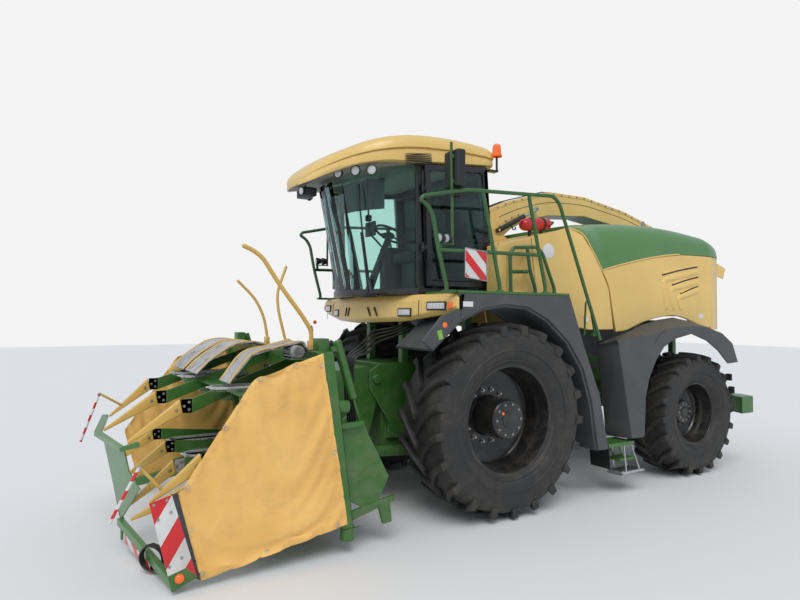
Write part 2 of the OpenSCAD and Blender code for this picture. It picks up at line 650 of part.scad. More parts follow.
module cab_windows() color("#9fd8cc", 0.4) in_place() {
    side_plate([[10, floor_top], [700, floor_top], [732, roof_under(732) - 62], [-22, roof_under(-22) - 62],
        [-79, 2812], [10, 2791]], -cab_half_w + 20, -cab_half_w + 20 + glass_t);
    side_plate([[-152, 2650], [-144, 2650], [-92, roof_under(-60) - 90], [-100, roof_under(-60) - 90]],
        pillar_w - cab_half_w, cab_half_w - pillar_w);
}

// Roof; columns: x, half width, edge, shoulder and crown heights
roof_rows = [
    [-220, 860, 3700, 3790, 3800], [-150, 950, 3720, 3860, 3880], [300, 985, 3720, 3880, 3910],
    [800, 985, 3690, 3860, 3890], [1150, 930, 3620, 3790, 3825], [1400, 790, 3560, 3680, 3715],
    [1580, 590, 3490, 3590, 3615], [1690, 360, 3440, 3510, 3525], [1745, 130, 3400, 3440, 3445]];

// Loop round the roof at one row, t inside its outer skin
function roof_loop(r, t) = let (x = r[0], w = r[1] - t, under = roof_under(x) + t, edge = r[2],
    top = r[3] - t) [
    [x, 0.9 * w, under], [x, w, edge], [x, 0.93 * w, (edge + top) / 2], [x, 0.75 * w, top],
    [x, 0, r[4] - t], [x, -0.75 * w, top], [x, -0.93 * w, (edge + top) / 2], [x, -w, edge],
    [x, -0.9 * w, under]];

module cab_roof() color("#efd68a") in_place() difference() {
    loft([for (r = roof_rows) roof_loop(r, 0)]);
    loft([for (i = [1 : 6]) roof_loop(roof_rows[i], 30)]);
}

// Door hinge: its pin's x and y, the heights of its knuckles, and their sizes
door_pin = [745, 962];
door_z = [2700, 3300];
door_pin_r = 8;
knuckle_r = 16;
knuckle_h = 60;
door_outline = [[695, floor_top + 20], [728, roof_under(728) - 20], [-75, roof_under(-75) - 20],
    [-126, 2800], [-18, 2785], [-18, floor_top + 20]];
door_hole = [[640, floor_top + 75], [668, roof_under(668) - 75], [-25, roof_under(-25) - 75],
    [-66, 2860], [40, 2845], [40, floor_top + 75]];
door_in = cab_half_w + move_gap;

module door_frame() color("#2b2d30") in_place() {
    difference() {
        side_plate(door_outline, door_in, door_in + door_t);
        side_plate(door_hole, door_in - 1, door_in + door_t + 1);
    }
    for (z = door_z) difference() {
        union() {
            translate([door_pin[0], door_pin[1], z - knuckle_h / 2]) cylinder(h = knuckle_h, r = knuckle_r);
            block([705, door_in + 14, z - 25], [door_pin[0], door_in + 36, z + 25]);
        }
        translate([door_pin[0], door_pin[1], z - 50]) cylinder(h = 100, r = door_pin_r + pin_gap);
    }
    block([-112, door_in + door_t, 2900], [-72, door_in + door_t + 25, 2950]);
    block([-112, door_in + door_t + 15, 2905], [60, door_in + door_t + 30, 2945]);
}

module door_glass() color("#9fd8cc", 0.4) in_place()
    side_plate(door_hole, door_in + 15, door_in + 15 + glass_t);

module seat() color("#3a3c40") in_place() {
    block([-60, -240, floor_top + 340], [400, 240, floor_top + 460]);
    side_plate([[-60, 2750], [50, 2750], [20, 3400], [-60, 3400]], -230, 230);
    block([40, -140, floor_top], [340, 140, floor_top + 340]);
}

// Middle of the steering wheel
wheel_at = [560, 0, 2950];

module controls() color("#303236") in_place() {
    side_plate([[800, floor_top], [880, floor_top], [600, 2944], [560, 2924]], -40, 40);
    translate(wheel_at) rotate([0, -28, 0]) rotate_extrude() translate([190, 0]) circle(r = 14, $fn = 16);
    translate(wheel_at) rotate([0, -28, 0]) translate([-180, -15, -25]) cube([360, 30, 30]);
    block([60, -420, floor_top], [480, -270, 2840]);
}

module mirrors() color("#26282b") in_place() both_sides() {
    block([mirror_x - 95, machine_half_w - 240, 3235], [mirror_x, machine_half_w - 10, 3590]);
    block([600, machine_half_w - 200, 3150], [mirror_x - 20, machine_half_w - 85, 3235]);
}

roof_slope = atan(190 / 940);

// Lamps under the roof's front and on the platform rail
beacon_at = [-212, 965];

module lamps() color("#d8dcde") in_place() {
    both_sides() {
        for (y = [120, 300, 480])
            let (x = 1500 - y / 6)
                translate([x, y, roof_under(x) - face_gap]) rotate([0, roof_slope, 0])
                    translate([0, 0, -60]) cylinder(h = 60, r = 45);
        for (x = [mirror_x + 64, mirror_x + 146])
            translate([x, rail_y - 25, 2690]) cylinder(h = 75, r = 32);
    }
    translate([beacon_at[0], beacon_at[1], 3745]) cylinder(h = 20, r = 55);
    translate([beacon_at[0], beacon_at[1], 3765]) cylinder(h = 115, r = 48);
}

// Top of the box over which an extinguisher lies, and the height of its middle
bottle_z = 3060;
bottle_r = 70;

module extinguishers() color("#c8202a") in_place() both_sides() {
    bar([-1000, 950, bottle_z], [-560, 950, bottle_z], bottle_r);
    for (x = [-860, -620])
        side_plate([[x, box_top(x) + face_gap], [x + 30, box_top(x + 30) + face_gap], [x + 30, bottle_z],
            [x, bottle_z]], 935, 965);
}

// REAR BUMPER

// Tow bar at the rear: x of its pin hole, underside, and radius of the hole
tow_x = rear(-1400);
tow_z = 760;
tow_hole_r = 16;

module rear_bumper() color("#3c7d34") in_place() {
    difference() {
        union() {
            block([tow_x, -70, tow_z], [rear(-1300), 70, tow_z + 30]);
            translate([tow_x, 0, tow_z]) cylinder(h = 30, r = 70);
        }
        translate([tow_x, 0, tow_z - 5]) cylinder(h = 40, r = tow_hole_r);
    }
    both_sides() flat_plate([[rear(-785), 1460], [rear(-865), 1300], [rear(-965), 1150],
        [rear(-1030), 1000],
        [rear(-1045), 900], [rear(-1140), 900], [rear(-1140), 1260], [rear(-1050), 1460]], 730, 950);
    block([rear(-1300), -1000, 735], [rear(-1140), 1000, 935]);
    both_sides() block([rear(-1140), rail_in, 850], [rear(-950), rail_out, rail_top]);
}

// HEADER, FOLDED

// Inner faces of the outer posts, and the outer faces of the mouth round the intake
header_in = header_half_w - 110;
mouth_half_w = intake_half_w + 5;

// Front faces at height z of the outer posts, the rear sheet and the top beam
function post_front(z) = 1860 + (z - 230) * 205 / 1470;
function sheet_front(z) = 1850 + (z - 380) / 16;
function beam_front(z) = 2010 + (z - 1500) / 10;

// Cylinder that folds a wing, as X and Z: its top, the end of its barrel and its foot pin
fold_top = [1850, 1790];
fold_mid = [1690, 1290];
fold_foot = [1453, 550];
fold_y = header_in - 50;

module header_frame() color("#3c7d34") in_place() {
    both_sides() {
        side_plate([[1760, 230], [1860, 230], [post_front(header_top), header_top], [1950, header_top]],
            header_in, header_half_w);
        side_plate([[1790, 380], [1850, 380], [1920, 1500], [1860, 1500]], mouth_half_w, mouth_half_w + 60);
        side_plate([[1838, 380], [1850, 380], [1920, 1500], [1908, 1500]], mouth_half_w + 60, header_in);
        side_plate([[intake_front_x + face_gap, 560], [1860, 560], [1880, 1300],
            [intake_front_x + face_gap, 1300]], intake_half_w - intake_wall, mouth_half_w);
        side_plate([[1870, 1015], [1630, 1094], [1365, 591], [1467, 384], [1626, 347], [1790, 450]],
            header_in, header_in + 20);
        side_plate([[1775, 330], [1500, 390], [1310, 420], [1310, 370], [1480, 330], [1765, 250]],
            header_in, header_in + 35);
        side_plate([[1480, 360], [1360, 385], [1340, 190], [1430, 180]], header_in, header_in + 35);
        translate([1790, header_in + 50, 120]) cylinder(h = 120, r = 60);
        bar([1640, header_in + 50, 1080], [1910, header_in + 50, 1066], 28);
        bar([1790, header_in + 50, 1235], [1930, header_in + 50, 1250], 55);
        block([1904, header_in - 220, header_top], [1998, header_in - 80, header_top + 110]);
        block([fold_top[0] - 40, fold_y - 25, header_top], [1905, fold_y + 25, header_top + 40]);
        bar([fold_top[0], fold_y, fold_top[1]], [fold_mid[0], fold_y, fold_mid[1]], 40);
        bar([fold_mid[0], fold_y, fold_mid[1] + 2], [fold_foot[0], fold_y, fold_foot[1]], 14);
        cross_bar(fold_foot[0], fold_foot[1], 22, fold_y - 20, header_in);
    }
    side_plate([[1790, 230], [1900, 230], [1915, 380], [1805, 380]], -header_in, header_in);
    side_plate([[1880, 1500], [2010, 1500], [beam_front(header_top), header_top], [1900, header_top]],
        -header_in, header_in);
}

// Row units; columns: y, x and z of the divider's root, x and z of its tip
upper_rows = [[-750, 3040, 1290, 3410, 985], [0, 3090, 1240, 3530, 975], [750, 3020, 1245, 3430, 985]];
lower_rows = [[-1150, 2930, 690, 3340, 410], [-400, 2930, 690, 3340, 410], [400, 3000, 675, 3380, 375],
    [1150, 3000, 660, 3450, 490]];
outer_row = [header_half_w - 60, 3000, 920, 3360, 665];
all_rows = concat(upper_rows, lower_rows, [outer_row]);
// Half height of a divider's root, and length of the gusset behind it
root_h = 60;
gusset = 90;
// Undersides of the shelves that carry the chains
upper_shelf = 1370;
lower_shelf = 640;

// Arm of one row unit, from two points at its back to its gusset
module row_arm(row, back)
    side_plate([back[0], [row[1] - gusset, row[2] - root_h], [row[1] - gusset, row[2] + root_h], back[1]],
        row[0] - 8, row[0] + 8);

module header_rows() color("#2f6b2c") in_place() {
    for (row = upper_rows) row_arm(row, [[beam_front(1560), 1560], [beam_front(1640), 1640]]);
    for (row = lower_rows) row_arm(row, [[sheet_front(420), 420], [sheet_front(640), 640]]);
    row_arm(outer_row, [[post_front(860), 860], [post_front(980), 980]]);
    block([2350, -header_in, upper_shelf], [2700, header_in, upper_shelf + 10]);
    block([2300, -header_in, lower_shelf], [2700, header_in, lower_shelf + 10]);
    for (y = [-1080, -375, 375, 1080]) translate([2480, y, upper_shelf - 140]) cylinder(h = 141, r = 140);
    for (y = [-775, 0, 775]) translate([2450, y, lower_shelf - 160]) cylinder(h = 161, r = 150);
    side_plate([[sheet_front(390) + 1, 390], [2300, 420], [2700, 330], [2700, 342], [2300, 432],
        [sheet_front(402) + 1, 402]], -header_in, header_in);
    side_plate([[beam_front(1628), 1628], [2215, 1628], [2215, 1640], [beam_front(1640), 1640]], 940, 1210);
}

// Undersides of the skids over the folded rows, as paths in X and Z
sheet_path = [[1950, header_top], [2030, header_top], [2200, 1738], [2380, 1722], [2500, 1658],
    [2640, 1558], [2750, 1448]];
near_path = [[1950, header_top], [2030, header_top], [2091, 1771], [2292, 1730], [2525, 1669],
    [2707, 1445]];
skids = [[sheet_path, -1000, -450], [sheet_path, -360, 140], [near_path, 780, 1100]];
// Ends of the chain tracks in X, and the places of their middles
track_back = 2290;
track_front = 2720;
upper_tracks = [-595, -190, 960];
lower_tracks = [-775, 0, 775];

// Outline of a loop of radius r round the two ends of a track
function track_loop(r) = [for (a = [-90 : 15 : 90]) [track_front + r * cos(a), r * sin(a)],
    for (a = [90 : 15 : 270]) [track_back + r * cos(a), r * sin(a)]];

// Track at y on a shelf, with its toothed chain on top
module track(y, low) translate([0, y, low]) {
    linear_extrude(20) polygon(track_loop(110));
    translate([0, 0, 20]) linear_extrude(20) difference() {
        polygon(track_loop(122));
        polygon(track_loop(98));
    }
    for (x = [track_back : 86 : track_front], s = [-1, 1])
        block([x - 12, s < 0 ? -146 : 118, 24], [x + 12, s < 0 ? -118 : 146, 36]);
}

module skid_straps() color("#8d8f8c") in_place() {
    for (s = skids) side_plate(strip(s[0], 12), s[1], s[2]);
    for (row = all_rows)
        block([row[1] - gusset, row[0] - 6, row[2] - root_h], [row[1], row[0] + 6, row[2] + root_h]);
    for (y = upper_tracks) track(y, upper_shelf + 10);
    for (y = lower_tracks) track(y, lower_shelf + 10);
    cross_bar(2157, 1697, 55, 950, 1200);
    block([2110, 970, 1640], [2205, 1180, 1665]);
}

// Square of a divider at x, w to each side and h up and down
function divider_loop(x, y, z, w, h) = [[x, y + w, z + h], [x, y - w, z + h], [x, y - w, z - h],
    [x, y + w, z - h]];
// Clamps of the striped poles: the point on the divider and the head of the arm
near_arm = [[3270, header_half_w - 60, 735], [3433, header_half_w - 60, 931]];
far_arm = [[3290, -745, 1085], [3509, -720, 1225]];

module dividers() color("#efc94c") in_place() {
    for (row = all_rows)
        loft([divider_loop(row[1], row[0], row[2], 35, root_h),
            divider_loop(row[3], row[0], row[4], 10, 12)]);
    for (arm = [near_arm, far_arm]) {
        bar(arm[0], arm[1], 12);
        block(arm[1] - [11, 13, 33], arm[1] + [11, 13, 14]);
    }
}

// Pole beside an arm's head, hanging to its end
module pole(head, end) {
    y = head[1] + 13;
    cross_bar(head[0], head[2] - 8, 8, y, y + 15);
    bar([head[0], y + 15, head[2] - 2], [end[0], y + 15, end[1]], 12);
}

module warning_boards() color("#c81e28") in_place() {
    side_plate([[3215, 37], [3377, 682], [3224, 722], [3043, 113]], header_half_w + 20, header_half_w + 28);
    pole(near_arm[1], [3624, 562]);
    pole(far_arm[1], [3670, 757]);
}

// Point at y and z on the back of the plates under the tips' guard
function leaning(y, z) = [3534 - 0.193 * (y - 200) + 0.21 * (z - 900), y, z];
guard_plates = [
    [leaning(200, 215), leaning(720, 531), leaning(720, 935), leaning(200, 935)],
    [leaning(700, 519), leaning(900, 640), leaning(720, 745), leaning(700, 745)]];

module guard_frame() color("#4a9a44") in_place() {
    beam([[3445, -760, 985], [3578, 0, 950], [3467, 750, 938], [3341, 750, 965]], 30, 20);
    for (plate = guard_plates) loft([plate, [for (p = plate) p + [12, 0, 0]]]);
    beam([[3408, 200, 204], [3190, header_half_w - 20, 62]], 25, 30);
    block([3380, 190, 40], [3402, 215, 235]);
    side_plate([[post_front(250), 250], [post_front(360), 360], [3200, 150], [3200, 60]],
        header_half_w - 60, header_half_w - 10);
    side_plate([[post_front(250), 250], [post_front(360), 360], [3100, 165], [3100, 75]],
        10 - header_half_w, 60 - header_half_w);
    side_plate([[3180, 712], [3226, 722], [3056, 100], [3012, 66]], header_half_w - 10, header_half_w + 20);
}

module side_covers() color("#e0b25a") in_place() both_sides()
    side_plate([[1818, 275], [3010, 64], [3180, 712], [2985, 985], [2629, 1517], [2054, header_top + 9]],
        header_half_w, header_half_w + 15);

// Tubes that guide the hoses; columns: y, radius, path in X and Z
tubes = [
    [900, 20, [[1915, header_top], [1915, 1790], [1920, 1876], [1997, 1995], [2227, 2287], [2375, 2510],
        [2465, 2575], [2544, 2605]]],
    [300, 14, [[1935, header_top], [1935, 1750], [2017, 2063], [2029, 2240], [1938, 2492]]],
    [-300, 15, [[1915, header_top], [1915, 1760], [1960, 2004], [2060, 2196], [2243, 2371]]]];

module guide_tubes() color("#e3b94e") in_place()
    for (t = tubes) {
        tube_run([for (p = t[2]) [p[0], t[0], p[1]]], t[1]);
        block([1900, t[0] - 30, header_top], [1945, t[0] + 30, header_top + 80]);
    }

// Cable wound round the lower guard
module cable_coil() color("#1c1d20") in_place() translate([3268, 1000, 128]) rotate([90, 0, -40])
    for (i = [0 : 3])
        translate([0, 0, i * 15 - 22]) rotate_extrude() translate([95, 0]) circle(r = 8, $fn = 16);

module hoses() color("#1c1d20") in_place()
    for (i = [0 : 3]) let (y = 640 + 34 * i, z = 1060 + 50 * i)
        tube_run([[700, y, 1960 - 20 * i], [860, y + 10, 1890 - 20 * i], [1190, y + 50, 1850 - 35 * i],
            [1330, y + 250, 1800 - 30 * i], [1495, z, 1735 - 20 * i], [1640, z, 1640], [1650, z, 1300],
                [1600, z, 950], [1700, z, 820],
            [1780, z, 800], [1863, z, 800]], 12);

// SPOUT

// Spout seen from the side; columns: x and z on the top, x and z underneath
spout_rows = [
    [-585, 3010, -980, 3010], [-630, 3180, -1030, 3060], [-790, 3360, -1100, 3120], [-1120, 3490, -1380,
        3260],
    [-1760, 3670, -1760, 3350], [-2450, 3670, -2450, 3400], [-3280, 3540, -3300, 3290], [-4110, 3310,
        -4150, 3080],
    [-5200, 2980, -5260, 2770]];

// Wall thickness t measured in from the outside
function spout_loop(row, w, t) = let (
        top = [row[0], row[1]],
        low = [row[2], row[3]],
        in = unit(low - top) * t
    ) [[low[0] - in[0], w - t, low[1] - in[1]], [low[0] - in[0], t - w, low[1] - in[1]],
        [top[0] + in[0], t - w, top[1] + in[1]], [top[0] + in[0], w - t, top[1] + in[1]]];

// Trunnions that carry the spout, and the pins of its lift cylinders, as X and Z
spout_pivot = [-600, 3040];
spout_pin_r = 20;
spout_foot = [-860, 3080];
spout_head = [-1500, 3400];
spout_ram_y = spout_half_w + 62;
ear_in = spout_half_w + move_gap;
ear_out = ear_in + 20;
turret_top = collar_top + face_gap + 18;

module spout_turret() color("#e8cf7a") in_place() {
    difference() {
        translate([spout_x, 0, collar_top + face_gap]) cylinder(h = 18, r = turret_r);
        translate([spout_x, 0, 2900]) cylinder(h = 300, r = turret_r - 40);
    }
    both_sides() {
        difference() {
            side_plate([[-980, 2990], [-980, 3090], [-900, 3110], [-840, 3125], [-640, 3085], [-570, 3080],
                [-555, 3030], [-600, 2990]], ear_in, ear_out);
            cross_bar(spout_pivot[0], spout_pivot[1], spout_pin_r + pin_gap, ear_in - 5, ear_out + 5);
        }
        cross_bar(spout_foot[0], spout_foot[1], 15, ear_in, spout_ram_y + 25);
    }
}

// Hinge of the flap at the spout's end, and the pins of its cylinder, as X and Z
flap_pivot = [-5210, 2925];
flap_pin_r = 14;
flap_foot = [-4960, 3110];
flap_head = [-5390, 3020];
flap_cheek_in = spout_half_w + move_gap;

// Duct between two of the rows
module spout_duct(first, last) difference() {
    loft([for (i = [first : last]) spout_loop(spout_rows[i], spout_half_w, 0)]);
    loft([for (i = [first : last]) spout_loop(spout_rows[i], spout_half_w, spout_wall)]);
}

module spout_elbow() color("#efd68a") in_place() spout_duct(0, 4);

module spout_arm() color("#efd68a") in_place() {
    spout_duct(4, 8);
    both_sides() side_plate([[-4900, 3060], [-5010, 3025], [-4985, 3125], [-4940, 3130]], 24, 34);
}

// Pins on the spout's sides: trunnions, hinge of its flap and heads of its cylinders
module spout_pins() color("#3a3c3e") in_place() {
    both_sides() {
        cross_bar(spout_pivot[0], spout_pivot[1], spout_pin_r, spout_half_w, ear_out + 4);
        cross_bar(flap_pivot[0], flap_pivot[1], flap_pin_r, spout_half_w, flap_cheek_in + 18);
        cross_bar(spout_head[0], spout_head[1], 14, spout_half_w, spout_ram_y + 25);
    }
    cross_bar(flap_foot[0], flap_foot[1], 10, -24, 24);
}

module spout_flap() color("#efd68a") in_place() {
    side_plate([[-5268, 2982], [-5770, 2816], [-5766, 2806], [-5266, 2970]], -flap_cheek_in - 12,
        flap_cheek_in + 12);
    both_sides() difference() {
        side_plate([[-5180, 2895], [-5180, 2945], [-5215, 2965], [-5268, 2976], [-5768, 2812],
            [-5700, 2640],
            [-5330, 2720]], flap_cheek_in, flap_cheek_in + 12);
        cross_bar(flap_pivot[0], flap_pivot[1], flap_pin_r + pin_gap, flap_cheek_in - 5,
            flap_cheek_in + 20);
    }
}

// Horn on the flap for its cylinder: two cheeks, and a pin between them
function flap_top(x) = 2982 + (x + 5268) * 166 / 502;

module flap_horn() color("#efd68a") in_place() {
    both_sides() side_plate([[-5340, flap_top(-5340)], [-5460, flap_top(-5460)], [-5405, 3035],
        [-5370, 3035]],
        24, 34);
    cross_bar(flap_head[0], flap_head[1], 9, pin_gap - 24, 24 - pin_gap);
}

// Point at distance d along a cylinder's line from foot to head, both as X and Z
function on_ram(foot, head, y, d) = let (u = unit(head - foot)) [foot[0] + d * u[0], y, foot[1] + d * u[1]];

// Barrel of a cylinder: an eye on its foot pin and a bored tube
module ram_barrel(foot, head, y, r, rod_r, len, eye_r, pin_r, eye_w) difference() {
    union() {
        cross_bar(foot[0], foot[1], eye_r, y - eye_w, y + eye_w);
        difference() {
            bar(on_ram(foot, head, y, eye_r * 0.7), on_ram(foot, head, y, len), r);
            bar(on_ram(foot, head, y, eye_r + 30), on_ram(foot, head, y, len + 10), rod_r + face_gap);
        }
    }
    cross_bar(foot[0], foot[1], pin_r + pin_gap, y - eye_w - 5, y + eye_w + 5);
}

// Rod of a cylinder: a bar that ends in an eye, with play round the pin at the head
module ram_rod(foot, head, y, rod_r, start, eye_r, pin_r, eye_w) difference() {
    union() {
        bar(on_ram(foot, head, y, start), on_ram(foot, head, y, norm(head - foot) - eye_r * 0.8), rod_r);
        cross_bar(head[0], head[1], eye_r, y - eye_w, y + eye_w);
    }
    cross_bar(head[0], head[1], pin_r + eye_play, y - eye_w - 5, y + eye_w + 5);
}

module spout_barrel() color("#26282b") in_place() both_sides()
    ram_barrel(spout_foot, spout_head, spout_ram_y, 32, 16, 470, 30, 15, 22);
module spout_rod() color("#c9ccd0") in_place() both_sides()
    ram_rod(spout_foot, spout_head, spout_ram_y, 16, 300, 34, 14, 18);
module flap_barrel() color("#26282b") in_place()
    ram_barrel(flap_foot, flap_head, 0, 22, 10, 290, 20, 10, 18);
module flap_rod() color("#c9ccd0") in_place()
    ram_rod(flap_foot, flap_head, 0, 10, 190, 24, 9, 14);

main_frame();
chopper_housing();
engine_block();
body_front();
spout_collar();
hood_top();
side_flap_left();
side_flap_right();
rear_panel();
rear_fenders();
front_fenders();
platform();
handrail();
cab_frame();
cab_roof();
windscreen();
cab_windows();
door_frame();
door_glass();
seat();
controls();
front_bumper();
mirrors();
lamps();
extinguishers();
rear_bumper();
rear_axle();
knuckle_left();
knuckle_right();
rim_front_left();
rim_front_right();
rim_rear_left();
rim_rear_right();
tyre_front_left();
tyre_front_right();
tyre_rear_left();
tyre_rear_right();
intake_housing();
lift_barrels();
lift_rods();
header_frame();
header_rows();
skid_straps();
dividers();
guard_frame();
warning_boards();
side_covers();
guide_tubes();
cable_coil();
hoses();
spout_turret();
spout_elbow();
spout_arm();
spout_pins();
spout_flap();
flap_horn();
spout_barrel();
spout_rod();
flap_barrel();
flap_rod();
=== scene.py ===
# %% [markdown]
# # A forage harvester with its maize header folded
#
# The machine is a big self-propelled chopper on four wheels: a cab over the front axle, an engine
# under a green hood behind it, and a folded maize header in front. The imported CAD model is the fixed
# frame. Every cell below dresses one part of it: steel gets paint with dust and small dents, tyres get
# rounded lugs, the side covers become hanging tarpaulins, and small fittings are added where they sit.

# %% Load the frame
import json
import math
from contextlib import contextmanager
from functools import partial

import bmesh
import bpy
from mathutils import Matrix, Vector, noise
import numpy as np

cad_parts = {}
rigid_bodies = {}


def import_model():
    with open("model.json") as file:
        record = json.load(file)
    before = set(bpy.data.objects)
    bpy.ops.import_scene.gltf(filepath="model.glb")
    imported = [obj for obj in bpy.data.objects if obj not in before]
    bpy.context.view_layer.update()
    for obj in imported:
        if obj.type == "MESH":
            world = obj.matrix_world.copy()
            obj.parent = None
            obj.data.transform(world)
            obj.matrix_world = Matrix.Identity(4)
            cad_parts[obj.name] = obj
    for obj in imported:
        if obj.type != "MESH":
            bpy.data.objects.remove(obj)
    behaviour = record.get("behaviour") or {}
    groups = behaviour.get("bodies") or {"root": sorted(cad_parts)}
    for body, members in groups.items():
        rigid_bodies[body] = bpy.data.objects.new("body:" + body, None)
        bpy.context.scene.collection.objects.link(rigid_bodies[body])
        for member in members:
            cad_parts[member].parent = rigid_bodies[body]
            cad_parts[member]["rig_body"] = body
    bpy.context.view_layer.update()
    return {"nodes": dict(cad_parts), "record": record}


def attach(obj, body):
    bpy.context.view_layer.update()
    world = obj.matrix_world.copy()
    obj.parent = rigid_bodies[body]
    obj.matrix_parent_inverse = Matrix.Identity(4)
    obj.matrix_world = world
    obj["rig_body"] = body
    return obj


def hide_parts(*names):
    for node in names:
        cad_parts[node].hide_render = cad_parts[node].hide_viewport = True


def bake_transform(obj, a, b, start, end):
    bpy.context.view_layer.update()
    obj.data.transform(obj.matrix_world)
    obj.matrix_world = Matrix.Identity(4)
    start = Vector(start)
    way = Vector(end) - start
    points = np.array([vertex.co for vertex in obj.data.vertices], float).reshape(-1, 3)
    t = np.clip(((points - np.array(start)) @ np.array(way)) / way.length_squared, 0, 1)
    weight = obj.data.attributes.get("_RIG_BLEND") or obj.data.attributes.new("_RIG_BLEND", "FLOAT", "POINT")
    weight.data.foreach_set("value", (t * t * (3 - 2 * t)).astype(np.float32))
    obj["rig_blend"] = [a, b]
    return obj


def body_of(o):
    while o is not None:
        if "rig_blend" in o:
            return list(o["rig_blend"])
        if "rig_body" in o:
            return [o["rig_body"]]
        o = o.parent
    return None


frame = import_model()
AXLE = 1.044  # front axle ahead of the frame's middle
both = (1, -1)
sides = ((1, "left"), (-1, "right"))

# %% [markdown]
# ## Camera
#
# The view is that of somebody standing three paces from the front left corner, with a phone held at
# two metres. A wide lens makes the header look large and the spout run away to the back. The camera is
# placed first, because lengths that the view must show can only be judged through it.

# %% Camera
yaw, pitch, roll = math.radians(31.08), math.radians(1.59), math.radians(0.18)
ahead = Vector((-math.sin(yaw) * math.cos(pitch), -math.cos(yaw) * math.cos(pitch), math.sin(pitch)))
right = ahead.cross(Vector((0, 0, 1))).normalized()
up = right.cross(ahead)
right, up = (math.cos(roll) * right + math.sin(roll) * up, math.cos(roll) * up - math.sin(roll) * right)
focal_px, width_px = 613.9, 800
scene = bpy.context.scene
camera_data = bpy.data.cameras.new("camera")
camera_data.sensor_width = 36
camera_data.lens = focal_px / width_px * 36
camera = bpy.data.objects.new("camera", camera_data)
scene.collection.objects.link(camera)
turn = Matrix((right, up, -ahead)).transposed().to_4x4()
camera.matrix_world = Matrix.Translation((4.115 + AXLE, 6.112, 1.997)) @ turn
scene.camera = camera
scene.view_settings.view_transform = "Standard"
print("lens", round(camera_data.lens, 2))

# %% [markdown]
# ## Floor and light
#
# A pale floor catches the shadow. The world is a soft grey that looks white to the camera and to
# mirror-like paint, so that gloss shows a bright sky. One broad sun stands high on the left, as on a
# bright overcast day, and a second weak one opens the shadows from the front.

# %% Floor, world and lamps
def feed(tree, value, socket):
    """Links an outlet to a socket, or sets the socket to a number or a colour."""
    if isinstance(value, bpy.types.NodeSocket):
        tree.links.new(value, socket)
    elif socket.type != "RGBA":
        socket.default_value = value
    else:
        socket.default_value = (value,) * 3 + (1,) if isinstance(value, (int, float)) else (*value, 1)


def add_node(tree, kind, feeds, outlet=0, **settings):
    """Adds a shader node, sets it up, feeds its sockets and returns one of its outlets."""
    made = tree.nodes.new("ShaderNode" + kind)
    for name, value in settings.items():
        setattr(made, name, value)
    for name, value in feeds.items():
        feed(tree, value, made.inputs[name])
    return made.outputs[outlet] if made.outputs else None


world = bpy.data.worlds.new("sky")
scene.world = world
world.use_nodes = True
sky = world.node_tree
sky.nodes.clear()
rays = [add_node(sky, "LightPath", {}, kind) for kind in ("Is Camera Ray", "Is Transmission Ray")]
seen = add_node(sky, "Math", dict(enumerate(rays)), operation="MAXIMUM")
lit = add_node(sky, "Background", {"Color": (0.86, 0.92, 1), "Strength": 0.62})
white = add_node(sky, "Background", {"Color": (1, 1, 1), "Strength": 0.9})
add_node(sky, "OutputWorld", {"Surface": add_node(sky, "MixShader", {0: seen, 1: lit, 2: white})})


def sun(name, strength, spread, azimuth, height):
    """A sun whose light comes from that azimuth, counted from +X to +Y, and height, in degrees."""
    data = bpy.data.lights.new(name, "SUN")
    data.energy = strength
    data.angle = math.radians(spread)
    lamp = bpy.data.objects.new(name, data)
    a, h = math.radians(azimuth), math.radians(height)
    source = Vector((math.cos(a) * math.cos(h), math.sin(a) * math.cos(h), math.sin(h)))
    lamp.rotation_euler = source.to_track_quat("Z", "Y").to_euler()
    scene.collection.objects.link(lamp)


sun("key", 1.55, 38, 62, 52)
sun("fill", 0.35, 80, -10, 30)

bpy.ops.mesh.primitive_plane_add(size=80, location=(0, 0, 0))
floor = bpy.context.object
floor.name = "floor"
bpy.ops.object.transform_apply(location=True, rotation=True, scale=True)
floor_look = bpy.data.materials.new("pale_floor")
floor_look.use_nodes = True
floor_shader = floor_look.node_tree.nodes["Principled BSDF"]
floor_shader.inputs["Base Color"].default_value = (0.74, 0.74, 0.74, 1)
floor_shader.inputs["Roughness"].default_value = 0.9
floor.data.materials.append(floor_look)
print("floor, sky and two suns")

# %% [markdown]
# ## Finishes
#
# Farm machines are gloss painted, and dust settles low down and in soft patches. Each finish is built
# from a few noise textures on Object coordinates, which do not slide when a body turns: a slow one for
# the tone, a middle one for dust and scuffs, and a fine one for the skin of the paint.

